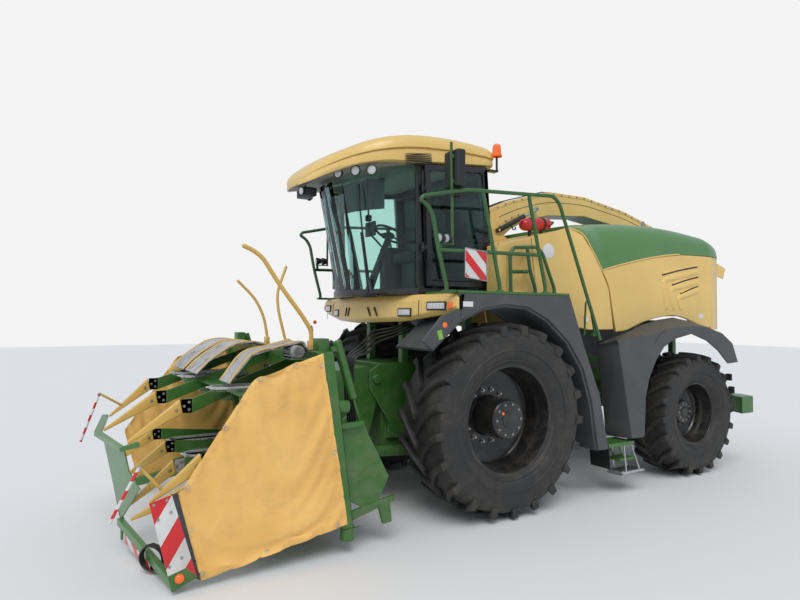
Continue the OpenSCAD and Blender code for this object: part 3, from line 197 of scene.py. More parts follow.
# %% Helpers for materials
class Look:
    """A material under construction, with its node tree, Principled shader and coordinates."""

    def __init__(self, name, base, rough, **more):
        self.material = bpy.data.materials.new(name)
        self.material.use_nodes = True
        self.tree = self.material.node_tree
        self.shader = self.tree.nodes["Principled BSDF"]
        self.put(Base_Color=base, Roughness=rough, **more)
        self.place = self.add("TexCoord", {}, "Object")

    def add(self, kind, feeds, outlet=0, **settings):
        return add_node(self.tree, kind, feeds, outlet, **settings)

    def put(self, **values):
        """Feeds sockets of the Principled shader."""
        for name, value in values.items():
            feed(self.tree, value, self.shader.inputs[name.replace("_", " ")])

    def noise(self, scale, detail=3.0, rough=0.5, warp=0.0):
        feeds = {"Vector": self.place, "Scale": scale, "Detail": detail, "Roughness": rough, "Distortion": warp}
        return self.add("TexNoise", feeds, "Fac")

    def ramp(self, fac, *stops):
        """Colour ramp through stops, each a position and a grey or a colour."""
        tex = self.tree.nodes.new("ShaderNodeValToRGB")
        self.tree.links.new(fac, tex.inputs["Fac"])
        band = tex.color_ramp.elements
        for spot, (position, value) in zip(band, stops):
            spot.position = position
            spot.color = (value, value, value, 1) if isinstance(value, (int, float)) else (*value, 1)
        return tex.outputs["Color"]

    def toned(self, scale, detail, base, low, high=1.0):
        """A base colour that slowly changes between two shares of itself."""
        dark, pale = ([min(1, share * c) for c in base] for share in (low, high))
        return self.ramp(self.noise(scale, detail), (0.3, dark), (0.7, pale))

    def mix(self, fac, a, b):
        return self.add("Mix", {"Factor": fac, "A": a, "B": b}, "Result", data_type="RGBA")

    def math(self, kind, a, b=0.5):
        return self.add("Math", {0: a, 1: b}, operation=kind)

    def plus(self, a, b):
        return self.math("ADD", a, b)

    def times(self, a, b):
        return self.math("MULTIPLY", a, b)

    def bump(self, height, strength, depth):
        self.put(Normal=self.add("Bump", {"Strength": strength, "Distance": depth, "Height": height}))

    def low_down(self, reach, ground):
        """1 at the height ground and 0 from the height reach on."""
        height = self.add("SeparateXYZ", {0: self.place}, "Z")
        return self.add("MapRange", {"From Min": reach, "From Max": ground, "Value": height}, "Result")


DUST = (0.30, 0.25, 0.17)


def paint(name, base, rough=0.3, dust=0.25):
    """Gloss paint: slow changes of tone, dust that thickens below 2.2 m, faint orange peel."""
    look = Look(name, base, rough, Coat_Weight=0.25, Coat_Roughness=0.12)
    tone = look.toned(1.1, 4, base, 0.9, 1.07)
    low = look.times(look.low_down(2.2, 0.2), 0.8)
    patches = look.ramp(look.noise(6.5, 8, 0.62, 0.4), (0.42, 0.0), (0.72, 1.0))
    film = look.times(look.plus(low, 0.18), look.times(patches, dust * 1.6))
    look.put(Base_Color=look.mix(film, tone, DUST))
    grain = look.plus(look.times(look.noise(28, 5), 0.12), rough - 0.05)
    look.put(Roughness=look.plus(look.times(film, 0.5), grain))
    look.bump(look.noise(240, 2), 0.06, 0.0015)
    return look.material


# %% Paints
green = paint("green_paint", (0.036, 0.140, 0.020), 0.36, 0.2)
rail_green = paint("rail_green_paint", (0.030, 0.112, 0.024), 0.34, 0.1)
bright_green = paint("bright_green_paint", (0.078, 0.212, 0.062), 0.3, 0.12)
yellow = paint("yellow_paint", (0.78, 0.53, 0.165), 0.34, 0.08)
deep_yellow = paint("deep_yellow_paint", (0.68, 0.42, 0.085), 0.34, 0.2)
black_paint = paint("black_paint", (0.012, 0.012, 0.013), 0.3, 0.10)
red_paint = paint("red_paint", (0.50, 0.012, 0.018), 0.25, 0.05)
white_plain = paint("white_enamel", (0.74, 0.74, 0.72), 0.32, 0.05)
label_green = paint("label_green", (0.22, 0.46, 0.07), 0.35, 0.03)
print("paints mixed")

# %% [markdown]
# The fenders are a dark grey grained skin, the mirrors and small fittings a black one. Both are matt
# plastic: the grain is a fine noise in the bump, and scuffs lighten the surface in soft patches. Tyres
# and glass follow the same way.

# %% Plastics and rubber
def grained(name, base, rough, scale=420, scuff=0.16):
    look = Look(name, base, rough)
    worn = look.ramp(look.noise(3.2, 9, 0.68, 0.5), (0.46, 0.0), (0.78, 1.0))
    look.put(Base_Color=look.mix(look.times(worn, scuff), look.toned(1.4, 3, base, 0.88), (0.24, 0.22, 0.19)))
    look.put(Roughness=look.plus(look.times(worn, 0.15), rough))
    look.bump(look.noise(scale, 2), 0.18, 0.001)
    return look.material


fender_grey = grained("fender_grey", (0.066, 0.068, 0.071), 0.46)
black_plastic = grained("black_plastic", (0.016, 0.016, 0.018), 0.5, 420, 0.06)
hose_black = grained("hose_rubber", (0.012, 0.012, 0.012), 0.42, 300, 0.05)
lining = grained("roof_lining", (0.36, 0.335, 0.29), 0.6, 300, 0.2)
blind_grey = grained("blind_grey", (0.10, 0.11, 0.115), 0.8, 500, 0.05)
seat_cloth = grained("seat_cloth", (0.030, 0.031, 0.035), 0.9, 900, 0.03)

RUBBER = (0.022, 0.0215, 0.021)
tyre_look = Look("tyre_rubber", RUBBER, 0.72)
dirt = tyre_look.ramp(tyre_look.noise(4.5, 9, 0.62, 0.6), (0.42, 0.0), (0.7, 1.0))
fine = tyre_look.ramp(tyre_look.noise(22, 6, 0.6), (0.35, 0.2), (0.75, 1.0))
film = tyre_look.times(tyre_look.times(dirt, fine), 0.62)
tyre_look.put(Base_Color=tyre_look.mix(film, RUBBER, (0.105, 0.090, 0.070)))
tyre_look.put(Roughness=tyre_look.plus(tyre_look.times(film, 0.3), 0.6))
tyre_look.bump(tyre_look.noise(90, 6, 0.65), 0.22, 0.004)
tyre_rubber = tyre_look.material
print("plastics and rubber mixed")

# %% [markdown]
# Glass of a cab is green tinted and thin. A Principled glass would keep the light of the lamps out of
# the cab, so the pane is a clear film that tints what is behind it, mixed with a mirror by the Fresnel
# share.

# %% Glass, metal and lamps
cab_glass = bpy.data.materials.new("cab_glass")
cab_glass.use_nodes = True
pane = cab_glass.node_tree
pane.nodes.clear()
mirror = add_node(pane, "BsdfGlossy", {"Roughness": 0.02, "Color": (0.9, 0.95, 0.95)})
clear = add_node(pane, "BsdfTransparent", {"Color": (0.81, 0.94, 0.91)})
share = add_node(pane, "Fresnel", {"IOR": 1.35})
add_node(pane, "OutputMaterial", {"Surface": add_node(pane, "MixShader", {0: share, 1: clear, 2: mirror})})


def metal(name, base, rough, scale=60, streak=0.12):
    look = Look(name, base, rough, Metallic=1.0)
    look.put(Base_Color=look.toned(2.5, 5, base, 0.8))
    look.put(Roughness=look.plus(look.times(look.noise(scale, 4), streak), rough))
    look.bump(look.noise(scale * 3, 3), 0.05, 0.0008)
    return look.material


chrome = metal("chrome_rod", (0.72, 0.73, 0.75), 0.08)
bare_steel = metal("bare_steel", (0.50, 0.49, 0.47), 0.34)
aluminium = metal("ribbed_aluminium", (0.62, 0.63, 0.64), 0.3)
cast_grey = metal("cast_grey", (0.11, 0.11, 0.115), 0.5)

worn = Look("worn_light_steel", (0.55, 0.55, 0.53), 0.45, Metallic=0.35)
rust = worn.ramp(worn.noise(9, 8, 0.66, 0.5), (0.52, 0.0), (0.7, 1.0))
worn.put(Base_Color=worn.mix(rust, worn.ramp(worn.noise(2, 4), (0.3, 0.34), (0.7, 0.60)), (0.16, 0.085, 0.04)))
worn.bump(worn.noise(70, 5), 0.15, 0.002)
worn_steel = worn.material


def lens(name, base, rough=0.12, glow=0.0):
    look = Look(name, base, rough, Coat_Weight=0.6, Coat_Roughness=0.05)
    ridge = look.add("TexWave", {"Scale": 38, "Distortion": 0.2, "Vector": look.place}, "Fac")
    pale = [min(1, c * 1.5 + 0.02) for c in base]
    look.put(Base_Color=look.mix(look.times(ridge, 0.35), base, pale))
    look.bump(ridge, 0.25, 0.002)
    if glow:
        look.put(Emission_Color=base, Emission_Strength=glow)
    return look.material


orange_lens = lens("orange_lens", (0.86, 0.13, 0.008), glow=0.12)
red_lens = lens("red_lens", (0.45, 0.008, 0.01))
clear_lens = lens("clear_lens", (0.55, 0.57, 0.58), 0.08)
print("glass, metals and lenses mixed")

# %% [markdown]
# Warning boards are sheet metal with red and white reflecting stripes at 45 degrees. The stripe is one
# straight wave of the point's place, cut hard, so every board of the machine takes it.

# %% Striped boards
def stripes(name, direction, width, shift=0.0):
    """Red and white bands square to direction, each as wide as width in metres."""
    look = Look(name, (0.6, 0.02, 0.03), 0.3, Coat_Weight=0.4, Coat_Roughness=0.1)
    feeds = {0: look.place, 1: Vector(direction).normalized()}
    along = look.add("VectorMath", feeds, "Value", operation="DOT_PRODUCT")
    turns = look.plus(look.math("DIVIDE", along, 2 * width), shift)
    part = look.math("GREATER_THAN", look.math("FRACT", turns), 0.5)
    red = look.ramp(look.noise(5, 5), (0.3, (0.56, 0.008, 0.011)), (0.7, (0.68, 0.012, 0.016)))
    pale = look.ramp(look.noise(4, 6), (0.3, (0.55, 0.54, 0.52)), (0.7, (0.74, 0.74, 0.72)))
    look.put(Base_Color=look.mix(part, red, pale))
    look.bump(look.noise(500, 1), 0.08, 0.0006)
    return look.material


side_stripes = stripes("side_stripes", (0.858, 0, 0.513), 0.12, 0.2)
front_stripes = stripes("front_stripes", (0, 1, 1), 0.085)
pole_stripes = stripes("pole_stripes", (0, 0, 1), 0.06)
rail_stripes = stripes("rail_stripes", (-1, 0, 1), 0.078, 0.974)
print("stripes mixed")

# %% [markdown]
# ## Ways of making a piece
#
# Every piece starts as a primitive, is shaped in edit mode, gets its modifiers applied and ends with its
# place in its mesh, so that its object sits at the origin. The helpers below are the moves that come back
# all the time. But for block and tube they count x from the front axle, where the photo was measured.

# %% Basic moves
def pick(obj):
    """Selects one object alone and makes it the active one."""
    bpy.ops.object.select_all(action="DESELECT")
    obj.select_set(True)
    bpy.context.view_layer.objects.active = obj
    return obj


def show(name, data):
    """A new object of that data in the scene, picked."""
    obj = bpy.data.objects.new(name, data)
    scene.collection.objects.link(obj)
    return pick(obj)


def mesh_of(name, points, edges, faces):
    mesh = bpy.data.meshes.new(name)
    mesh.from_pydata(points, edges, faces)
    return show(name, mesh)


@contextmanager
def editing(obj):
    """Edit mode on one object with all of its mesh selected."""
    pick(obj)
    bpy.ops.object.mode_set(mode="EDIT")
    bpy.ops.mesh.select_all(action="SELECT")
    yield
    bpy.ops.object.mode_set(mode="OBJECT")


def outward(obj):
    with editing(obj):
        bpy.ops.mesh.normals_make_consistent(inside=False)
    return obj


def primitive(kind, **how):
    bpy.ops.object.select_all(action="DESELECT")
    getattr(bpy.ops.mesh, f"primitive_{kind}_add")(**how)
    return bpy.context.object


def settle(obj, matrix=None):
    """Writes the object's place, turn and scale into its mesh."""
    if matrix is not None:
        obj.matrix_world = matrix
    pick(obj)
    bpy.ops.object.transform_apply(location=True, rotation=True, scale=True)
    return obj


def modify(obj, kind, **values):
    """Adds a modifier, sets it and applies it."""
    bpy.context.view_layer.objects.active = obj
    change = obj.modifiers.new(kind.lower(), kind)
    for name, value in values.items():
        setattr(change, name, value)
    bpy.ops.object.modifier_apply(modifier=change.name)
    return obj


def bevel(obj, width, segments=2, angle=30, **more):
    """Rounds the edges that are sharper than angle."""
    return modify(obj, "BEVEL", width=width, segments=segments, limit_method="ANGLE",
                  angle_limit=math.radians(angle), **more)


def joined(parts):
    """One object out of several."""
    pick(parts[0])
    for part in parts:
        part.select_set(True)
    if len(parts) > 1:
        bpy.ops.object.join()
    return bpy.context.object


def move(x, y, z):
    return Matrix.Translation((x + AXLE, y, z))


def at(x, y, z, axis=(0, 0, 1)):
    """Matrix that puts something modelled round Z at a place, pointing along axis."""
    axis = Vector(axis).normalized()
    turn = Matrix.Identity(3) if axis.z > 0.9999 else axis.to_track_quat("Z", "Y").to_matrix()
    return move(x, y, z) @ turn.to_4x4()


def copies(obj, places):
    """One object out of a copy of obj's mesh at each place, a 4x4 matrix; obj goes."""
    shape = bmesh.new()
    for matrix in places:
        mesh = obj.data.copy()
        mesh.transform(matrix)
        if matrix.determinant() < 0:
            mesh.flip_normals()
        shape.from_mesh(mesh)
        bpy.data.meshes.remove(mesh)
    shape.to_mesh(obj.data)
    shape.free()
    return obj


# %% Bars, boxes, tubes, plates and skins
def block(low, high, width=0.004, segments=2):
    """Box between two corners with rounded edges."""
    low, high = Vector(low), Vector(high)
    obj = primitive("cube", size=1, location=(low + high) / 2)
    obj.scale = high - low
    settle(obj)
    return bevel(obj, width, segments) if width else obj


def box(low, high, width=0.004, segments=2):
    """Block with x from the front axle."""
    return block((low[0] + AXLE, *low[1:]), (high[0] + AXLE, *high[1:]), width, segments)


def side_box(side, low, high, width=0.004, segments=2):
    """Box on the left for side 1, and its mirror image for side -1."""
    near, far = sorted((side * low[1], side * high[1]))
    return box((low[0], near, low[2]), (high[0], far, high[2]), width, segments)


def rod(a, b, radius, sides=20, width=0.0):
    """Round bar from a to b."""
    a, b = Vector((a[0] + AXLE, *a[1:])), Vector((b[0] + AXLE, *b[1:]))
    obj = primitive("cylinder", vertices=sides, radius=radius, depth=(b - a).length)
    settle(obj, Matrix.Translation((a + b) / 2) @ (b - a).to_track_quat("Z", "Y").to_matrix().to_4x4())
    return bevel(obj, width, 2, 50) if width else obj


def tube(points, radius, sides=5, smooth=True):
    """Tube of that radius along points; sides is how round it is."""
    data = bpy.data.curves.new("tube", "CURVE")
    data.dimensions = "3D"
    data.bevel_depth = radius
    data.bevel_resolution = sides
    data.resolution_u = 6
    data.use_fill_caps = True
    path = data.splines.new("BEZIER" if smooth else "POLY")
    spots = path.bezier_points if smooth else path.points
    spots.add(len(points) - 1)
    for spot, point in zip(spots, points):
        spot.co = point if smooth else (*point, 1)
        if smooth:
            spot.handle_left_type = spot.handle_right_type = "AUTO"
    show("tube", data)
    bpy.ops.object.convert(target="MESH")
    return bpy.context.object


def line(points, radius, sides=5, smooth=True):
    """Tube along points counted from the front axle."""
    return tube([(x + AXLE, y, z) for x, y, z in points], radius, sides, smooth)


def bent(points, radius, corner=0.06, sides=5):
    """Tube with straight runs and rounded corners."""
    points = [Vector(point) for point in points]
    path = [points[0]]
    for before, spot, after in zip(points, points[1:], points[2:]):
        reach = min(corner, 0.45 * (before - spot).length, 0.45 * (after - spot).length)
        start = spot + (before - spot).normalized() * reach
        end = spot + (after - spot).normalized() * reach
        for t in (0, 0.2, 0.4, 0.6, 0.8, 1):
            path.append((1 - t) ** 2 * start + 2 * t * (1 - t) * spot + t * t * end)
    return line(path + [points[-1]], radius, sides, smooth=False)


def flat(points, y):
    """Points (x, z) as points in space at that y."""
    return [(x, y, z) for x, z in points]


def turned(profile, steps=64, ring=False):
    """Profile of points (radius, along) turned round the Z axis; a ring's profile closes on itself."""
    edges = [(i, i + 1) for i in range(len(profile) - 1)] + ([(len(profile) - 1, 0)] if ring else [])
    obj = mesh_of("profile", [(r, 0, h) for r, h in profile], edges, [])
    with editing(obj):
        bpy.ops.mesh.spin(steps=steps, angle=2 * math.pi, center=(0, 0, 0), axis=(0, 0, 1))
        bpy.ops.mesh.select_all(action="SELECT")
        bpy.ops.mesh.remove_doubles(threshold=0.00005)
        bpy.ops.mesh.normals_make_consistent(inside=False)
    return obj


def knob(profile, spot, axis=(0, 0, 1), steps=32, ring=False):
    """Turned piece that stands on a spot and points along axis."""
    return settle(turned(profile, steps, ring), at(*spot, axis))


def plate(outline, y_in, y_out, width=0.003):
    """Plate with an outline in X and Z, from y_in to y_out."""
    obj = mesh_of("plate", [(x + AXLE, y_in, z) for x, z in outline], [], [list(range(len(outline)))])
    with editing(obj):
        bpy.ops.mesh.extrude_region_move(TRANSFORM_OT_translate={"value": (0, y_out - y_in, 0)})
        bpy.ops.mesh.select_all(action="SELECT")
        bpy.ops.mesh.normals_make_consistent(inside=False)
    return bevel(obj, width, 2, 40) if width else obj


def skin(loops, closed=True, ends=True):
    """Mesh over loops of equally many points."""
    count, last = len(loops[0]), len(loops) - 1
    faces = [(i * count + j, i * count + (j + 1) % count, (i + 1) * count + (j + 1) % count, (i + 1) * count + j)
             for i in range(last) for j in range(count if closed else count - 1)]
    if ends:
        faces += [tuple(range(count - 1, -1, -1)), tuple(last * count + j for j in range(count))]
    return outward(mesh_of("skin", [(x + AXLE, y, z) for loop in loops for x, y, z in loop], [], faces))


def between(columns, steps):
    """Rows on a smooth curve through rows of numbers, steps to each span."""
    rows = []
    last = len(columns) - 1
    for i in range(last):
        span = (columns[max(0, i - 1)], columns[i], columns[i + 1], columns[min(last, i + 2)])
        for t in [k / steps for k in range(steps)]:
            rows.append([0.5 * (2 * q + (r - p) * t + (2 * p - 5 * q + 4 * r - s) * t * t
                                + (3 * q - p - 3 * r + s) * t ** 3) for p, q, r, s in zip(*span)])
    return rows + [list(columns[-1])]


def bolts(places, radius=0.014, height=0.011):
    """Hexagon heads on washers, along +Z from each place."""
    washer = primitive("cylinder", vertices=20, radius=radius * 1.35, depth=0.003, location=(0, 0, 0.0015))
    head = primitive("cylinder", vertices=6, radius=radius, depth=height, location=(0, 0, 0.003 + height / 2))
    bevel(settle(head), radius * 0.12, 1)
    return copies(joined([head, settle(washer)]), places)


# %% Naming, painting and riding
slot_of = {part["node"]: part["material_slot"] for part in frame["record"]["subparts"]}
# Slots of the looks that aren't called like their slot
other_slots = {"rail_green_paint": "bright_green_paint", "fender_grey": "grey_plastic", "bare_steel": "cast_grey",
               "ribbed_aluminium": "cast_grey", "worn_light_steel": "cast_grey", "orange_lens": "lamp_glass",
               "red_lens": "lamp_glass", "clear_lens": "lamp_glass", "side_stripes": "sign",
               "front_stripes": "sign", "pole_stripes": "sign", "rail_stripes": "sign", "tarpaulin": "tarp",
               "white_enamel": None, "label_green": None}


def piece(obj, name, look, body="chassis", slot=None, angle=35, stands_for=None):
    """Names a finished piece, paints it and lets it ride on its body."""
    if isinstance(obj, list):
        obj = joined(obj)
    settle(obj)
    obj.name = name
    obj.data.materials.clear()
    obj.data.materials.append(look)
    pick(obj)
    bpy.ops.object.shade_smooth_by_angle(angle=math.radians(angle))
    if body:
        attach(obj, body)
    # Blender adds a number to a name that the frame's own materials have
    plain = look.name.split(".")[0]
    slot = slot or other_slots.get(plain, plain)
    if stands_for:
        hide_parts(stands_for)
    return obj


def even(obj):
    """Lets large faces set the shading of the narrow ones beside them."""
    return modify(obj, "WEIGHTED_NORMAL", keep_sharp=True)


def softened(node, look, width, segments=3, cuts=()):
    """A copy of a CAD node with merged faces and rounded edges, which stands for the node."""
    source = frame["nodes"][node]
    obj = show(node + "_shell", source.data.copy())
    obj.data.transform(source.matrix_world)
    with editing(obj):
        bpy.ops.mesh.remove_doubles(threshold=0.00008)
        bpy.ops.mesh.dissolve_limited(angle_limit=math.radians(1.0))
        bpy.ops.mesh.normals_make_consistent(inside=False)
    for cutter in cuts:
        modify(obj, "BOOLEAN", operation="DIFFERENCE", object=cutter, solver="EXACT")
        bpy.data.objects.remove(cutter)
    bevel(obj, width, segments, 30, use_clamp_overlap=False)
    return even(piece(obj, node + "_shell", look, body_of(source)[0], slot_of[node], stands_for=node))


print("helpers ready")

# %% [markdown]
# ## The frame's own nodes
#
# The CAD nodes whose shape is right stay as they are and only get a finish. Those that a finer piece
# stands for are painted too, so that the same colour shows wherever one is looked at alone.

# %% Paint the CAD nodes
finishes = {
    green: ["main_frame", "chopper_housing", "intake_housing", "platform", "rear_bumper", "rear_axle",
            "knuckle_left", "knuckle_right", "header_frame", "header_rows", "lift_barrels"],
    bright_green: ["hood_top", "handrail", "guard_frame"],
    yellow: ["body_front", "spout_collar", "rear_panel", "front_bumper", "spout_turret", "spout_elbow",
             "spout_arm", "spout_flap", "flap_horn", "side_flap_left", "side_flap_right", "cab_roof"],
    deep_yellow: ["dividers", "guide_tubes"],
    fender_grey: ["rear_fenders", "front_fenders"],
    black_paint: ["cab_frame", "door_frame", "spout_barrel", "flap_barrel"],
    black_plastic: ["controls", "mirrors"],
    cab_glass: ["windscreen", "cab_windows", "door_glass"],
    chrome: ["lift_rods", "spout_rod", "flap_rod"],
    worn_steel: ["skid_straps"],
    bare_steel: ["spout_pins"],
    cast_grey: ["engine_block"],
    hose_black: ["hoses", "cable_coil"],
    seat_cloth: ["seat"],
    clear_lens: ["lamps"],
    red_paint: ["extinguishers"],
    side_stripes: ["warning_boards"],
}
for look, names in finishes.items():
    for name in names:
        obj = frame["nodes"][name]
        obj.data.materials.clear()
        obj.data.materials.append(look)
print("painted", sum(map(len, finishes.values())), "of", len(frame["nodes"]), "nodes")

# %% [markdown]
# ## Tyres
#
# A farm tyre is a round carcass with tall bars of rubber on it. Each bar runs from the middle of the
# tread to the shoulder in a shallow curve, and bends a hand's width down the side. A texture would leave
# the outline smooth, so the bars are real. The carcass is a profile turned with the spin operator. One
# bar is a cube, divided along its length, whose corners are then laid on the carcass, and it is copied
# round the wheel. The bars of the inner half stand half a pitch on from those of the outer half.

# %% Carcass and bars
# Half of a carcass, from the middle of the tread to the bead: share of the width, share of the height
sidewall = [(0, 1), (0.35, 0.995), (0.64, 0.977), (0.84, 0.945), (0.942, 0.9), (0.985, 0.822), (0.99, 0.705),
            (0.992, 0.574), (0.985, 0.45), (0.997, 0.435), (0.997, 0.405), (0.975, 0.39), (0.95, 0.261),
            (0.875, 0.16), (0.885, 0.125), (0.80, 0.039), (0.76, 0)]
BAR_SKEW = math.radians(17)
axle_way = Matrix.Rotation(math.radians(-90), 4, "X")
mirror_y = Matrix.Diagonal((1, -1, 1, 1))


def bar_of_tread(half, base, bead, tip):
    obj = primitive("cube", size=1)
    bpy.ops.object.mode_set(mode="EDIT")
    bpy.ops.mesh.select_all(action="DESELECT")
    shape = bmesh.from_edit_mesh(obj.data)
    for edge in shape.edges:
        edge.select = abs(edge.verts[0].co.x - edge.verts[1].co.x) > 0.5
    bmesh.update_edit_mesh(obj.data)
    bpy.ops.mesh.subdivide(number_cuts=7)
    bpy.ops.object.mode_set(mode="OBJECT")
    for v in obj.data.vertices:
        u, side, top = v.co.x + 0.5, 2 * v.co.y, v.co.z > 0
        crown = tip - 0.027 * u ** 2.6
        foot = base - 0.008 - (base - bead) * 0.175 * max(0.0, (u - 0.72) / 0.28) ** 2
        r = crown if top else foot
        wide = (0.025 + 0.010 * u) * (1.0 if top else 1.32)
        a = BAR_SKEW * math.sin(u * math.pi / 2 * 0.95) + side * wide / r
        v.co = (r * math.sin(a), half * (0.03 + 0.975 * u), -r * math.cos(a))
    return outward(bevel(obj, 0.006, 2, 38))


def tyre_shape(half, base, bead, tip, count):
    """Tyre with its axle along Y, at the origin."""
    side = [(bead + height * (base - bead), share * half) for share, height in sidewall]
    body = settle(turned(side[::-1] + [(r, -y) for r, y in side[1:]], 96, ring=True), axle_way)
    pitch = 2 * math.pi / count
    tread = bar_of_tread(half, base, bead, tip)
    copies(tread, [Matrix.Rotation(-i * pitch, 4, "Y") for i in range(count)]
           + [Matrix.Rotation(-(i + 0.5) * pitch, 4, "Y") @ mirror_y for i in range(count)])
    return joined([body, tread])


def on_both_sides(obj, spot, name, look, body, node=None):
    """A wheel's piece on the left, and its mirror image on the right; name and body have a gap for the side."""
    other = show("other", obj.data.copy())
    copies(obj, [spot])
    copies(other, [mirror_y @ spot])
    for made, (_, word) in zip((obj, other), sides):
        piece(made, name.format(word), look, body.format(word), angle=32 if node else 35,
              stands_for=node and node.format(word))


front_spot, rear_spot = move(0, 1.150, 0.975), move(-3.2, 1.080, 0.775)
for shape, spot, end in (((0.345, 0.923, 0.540, 0.975, 21), front_spot, "front"),
                         ((0.295, 0.725, 0.388, 0.775, 20), rear_spot, "rear")):
    on_both_sides(tyre_shape(*shape), spot, end + "_tyre_{}", tyre_rubber, f"wheel_{end}_{{}}", f"tyre_{end}_{{}}")
print("tyres done")

# %% [markdown]
# ## Rims
#
# The rims are black and deep: a rolled lip, a stepped barrel, a dished disc far inside and a drum that
# reaches out to the final drive's cover. All of it is turned. The wheel nuts are one bolt copied in a
# ring, and the drum's cover gets its own ring of small screws.

# %% Rims and wheel nuts
def ring_of(count, radius, height):
    return [Matrix.Rotation(2 * math.pi * i / count, 4, "Z") @ Matrix.Translation((radius, 0, height))
            for i in range(count)]


def rim_shape(r, half, disc, flange, drum_r, drum_out, hub_r, hub_back, nuts, nut_ring):
    """Black and steel parts of a rim; the lengths along the axle count out from the tyre's middle."""
    # One wall of the barrel: added to the radius, depth below the lip
    inner = [(0.005, -0.002), (-0.007, 0.004), (-0.014, 0.016), (-0.016, 0.118), (-0.034, 0.150), (-0.046, 0.182)]
    back = [(-0.046, 0.182), (-0.016, 0.118), (-0.014, 0.016), (0.005, -0.002), (0.024, 0), (0.027, 0.008),
            (0.001, 0.022), (0, 0.130), (-0.029, 0.186)]
    outer = [(-0.029, 0.186), (0, 0.130), (0.001, 0.022), (0.027, 0.008), (0.024, 0)]
    barrel = turned([(r + dr, half - d) for dr, d in inner] + [(r + dr, d - half) for dr, d in back]
                    + [(r + dr, half - d) for dr, d in outer], 96, ring=True)
    dish = turned([
        (0, drum_out), (drum_r - 0.030, drum_out), (drum_r - 0.012, drum_out - 0.004),
        (drum_r - 0.002, drum_out - 0.018), (drum_r, drum_out - 0.060), (drum_r, disc + 0.012),
        (drum_r + 0.012, disc), (flange, disc), (flange + 0.020, disc + 0.006), (r - 0.100, disc + 0.044),
        (r - 0.060, disc + 0.050), (r - 0.0465, disc + 0.066), (r - 0.0465, disc + 0.048),
        (r - 0.096, disc + 0.020), (flange, disc - 0.022), (hub_r, disc - 0.022), (hub_r, hub_back),
        (0, hub_back)], 96)
    nut = bolts(ring_of(nuts, nut_ring, disc), 0.017, 0.030)
    screw = bolts(ring_of(10, drum_r - 0.045, drum_out), 0.009, 0.008)
    cap = turned([(0, drum_out + 0.012), (drum_r * 0.36, drum_out + 0.012), (drum_r * 0.42, drum_out + 0.006),
                  (drum_r * 0.43, drum_out - 0.002), (0, drum_out - 0.002)], 48)
    return [joined([settle(part, axle_way) for part in parts]) for parts in ((barrel, dish, cap), (nut, screw))]


for shape, spot, end in (((0.533, 0.278, -0.1, 0.310, 0.200, 0.250, 0.215, -0.388, 14, 0.27), front_spot, "front"),
                         ((0.381, 0.225, -0.06, 0.210, 0.155, 0.070, 0.150, -0.290, 10, 0.185), rear_spot, "rear")):
    black, steel = rim_shape(*shape)
    on_both_sides(black, spot, end + "_rim_{}", black_paint, f"wheel_{end}_{{}}", f"rim_{end}_{{}}")
    on_both_sides(steel, spot, end + "_nuts_{}", bare_steel, f"wheel_{end}_{{}}")
mark = modify(primitive("cylinder", vertices=24, radius=0.016, depth=0.004), "BEVEL", width=0.001, segments=1)
settle(mark, at(0.075, 1.4025, 1.04, (0, 1, 0)))
piece(mark, "hub_mark", orange_lens, "wheel_front_left", slot_of["rim_front_left"])
print("wheels done")

# %% [markdown]
# ## Side covers of the header
#
# On the road a yellow tarpaulin hides the sharp points on each side of the folded header. It is one coated
# cloth, hemmed all round and laced to the frame, so it hangs nearly flat and sags a little. A grid is cut to
# the outline with bisect, pinned at twenty spots round its border, given two per cent too much cloth and
# let go under gravity. How far a point may move is capped, so that the cloth neither sinks into the frame
# nor stands out past the fenders. The hem is a copy of the border, a little proud. Two eyelets are drawn on
# each edge; they are for the looks and don't mark the pinned spots.

# %% Cut the cloth, let it hang, hem it
HEADER_SIDE = 1.460
cover_corners = [Vector((x + AXLE, z)) for x, z in
                 ((1.818, 0.275), (3.010, 0.064), (3.178, 0.712), (2.629, 1.517), (2.054, 1.709))]
cover_edges = list(zip(cover_corners, cover_corners[1:] + cover_corners[:1]))
on_header = partial(piece, body="header")


def border_distance(x, z):
    """Distance of a point inside the cover from its nearest edge."""
    point = Vector((x, z))
    return min(abs((b - a).normalized().cross(point - a)) for a, b in cover_edges)


def border_places(gap):
    """Spots just inside the border, about gap apart and at least two to an edge."""
    spots = []
    for a, b in cover_edges:
        count = max(2, round((b - a).length / gap))
        inward = Vector((-(b - a).y, (b - a).x)).normalized()
        spots += [a.lerp(b, (i + 0.15) / count) + inward * 0.022 for i in range(count)]
    return spots


def cut_cloth(y):
    low, high = Vector((1.80 + AXLE, 0.05)), Vector((3.20 + AXLE, 1.73))
    middle = (low + high) / 2
    obj = primitive("grid", x_subdivisions=58, y_subdivisions=70, size=1, location=(middle.x, y, middle.y),
                    rotation=(math.radians(90), 0, 0))
    obj.scale = (high.x - low.x, high.y - low.y, 1)
    with editing(settle(obj)):
        for a, b in cover_edges:
            bpy.ops.mesh.select_all(action="SELECT")
            out = Vector(((b - a).y, 0, -(b - a).x)).normalized()
            bpy.ops.mesh.bisect(plane_co=(a.x, y, a.y), plane_no=out, clear_outer=True)
        bpy.ops.mesh.select_all(action="SELECT")
        bpy.ops.mesh.remove_doubles(threshold=0.003)
    layer = obj.data.uv_layers.active or obj.data.uv_layers.new(name="cloth")
    for corner in obj.data.loops:
        spot = obj.data.vertices[corner.vertex_index].co
        layer.data[corner.index].uv = (spot.x, spot.z)
    return obj


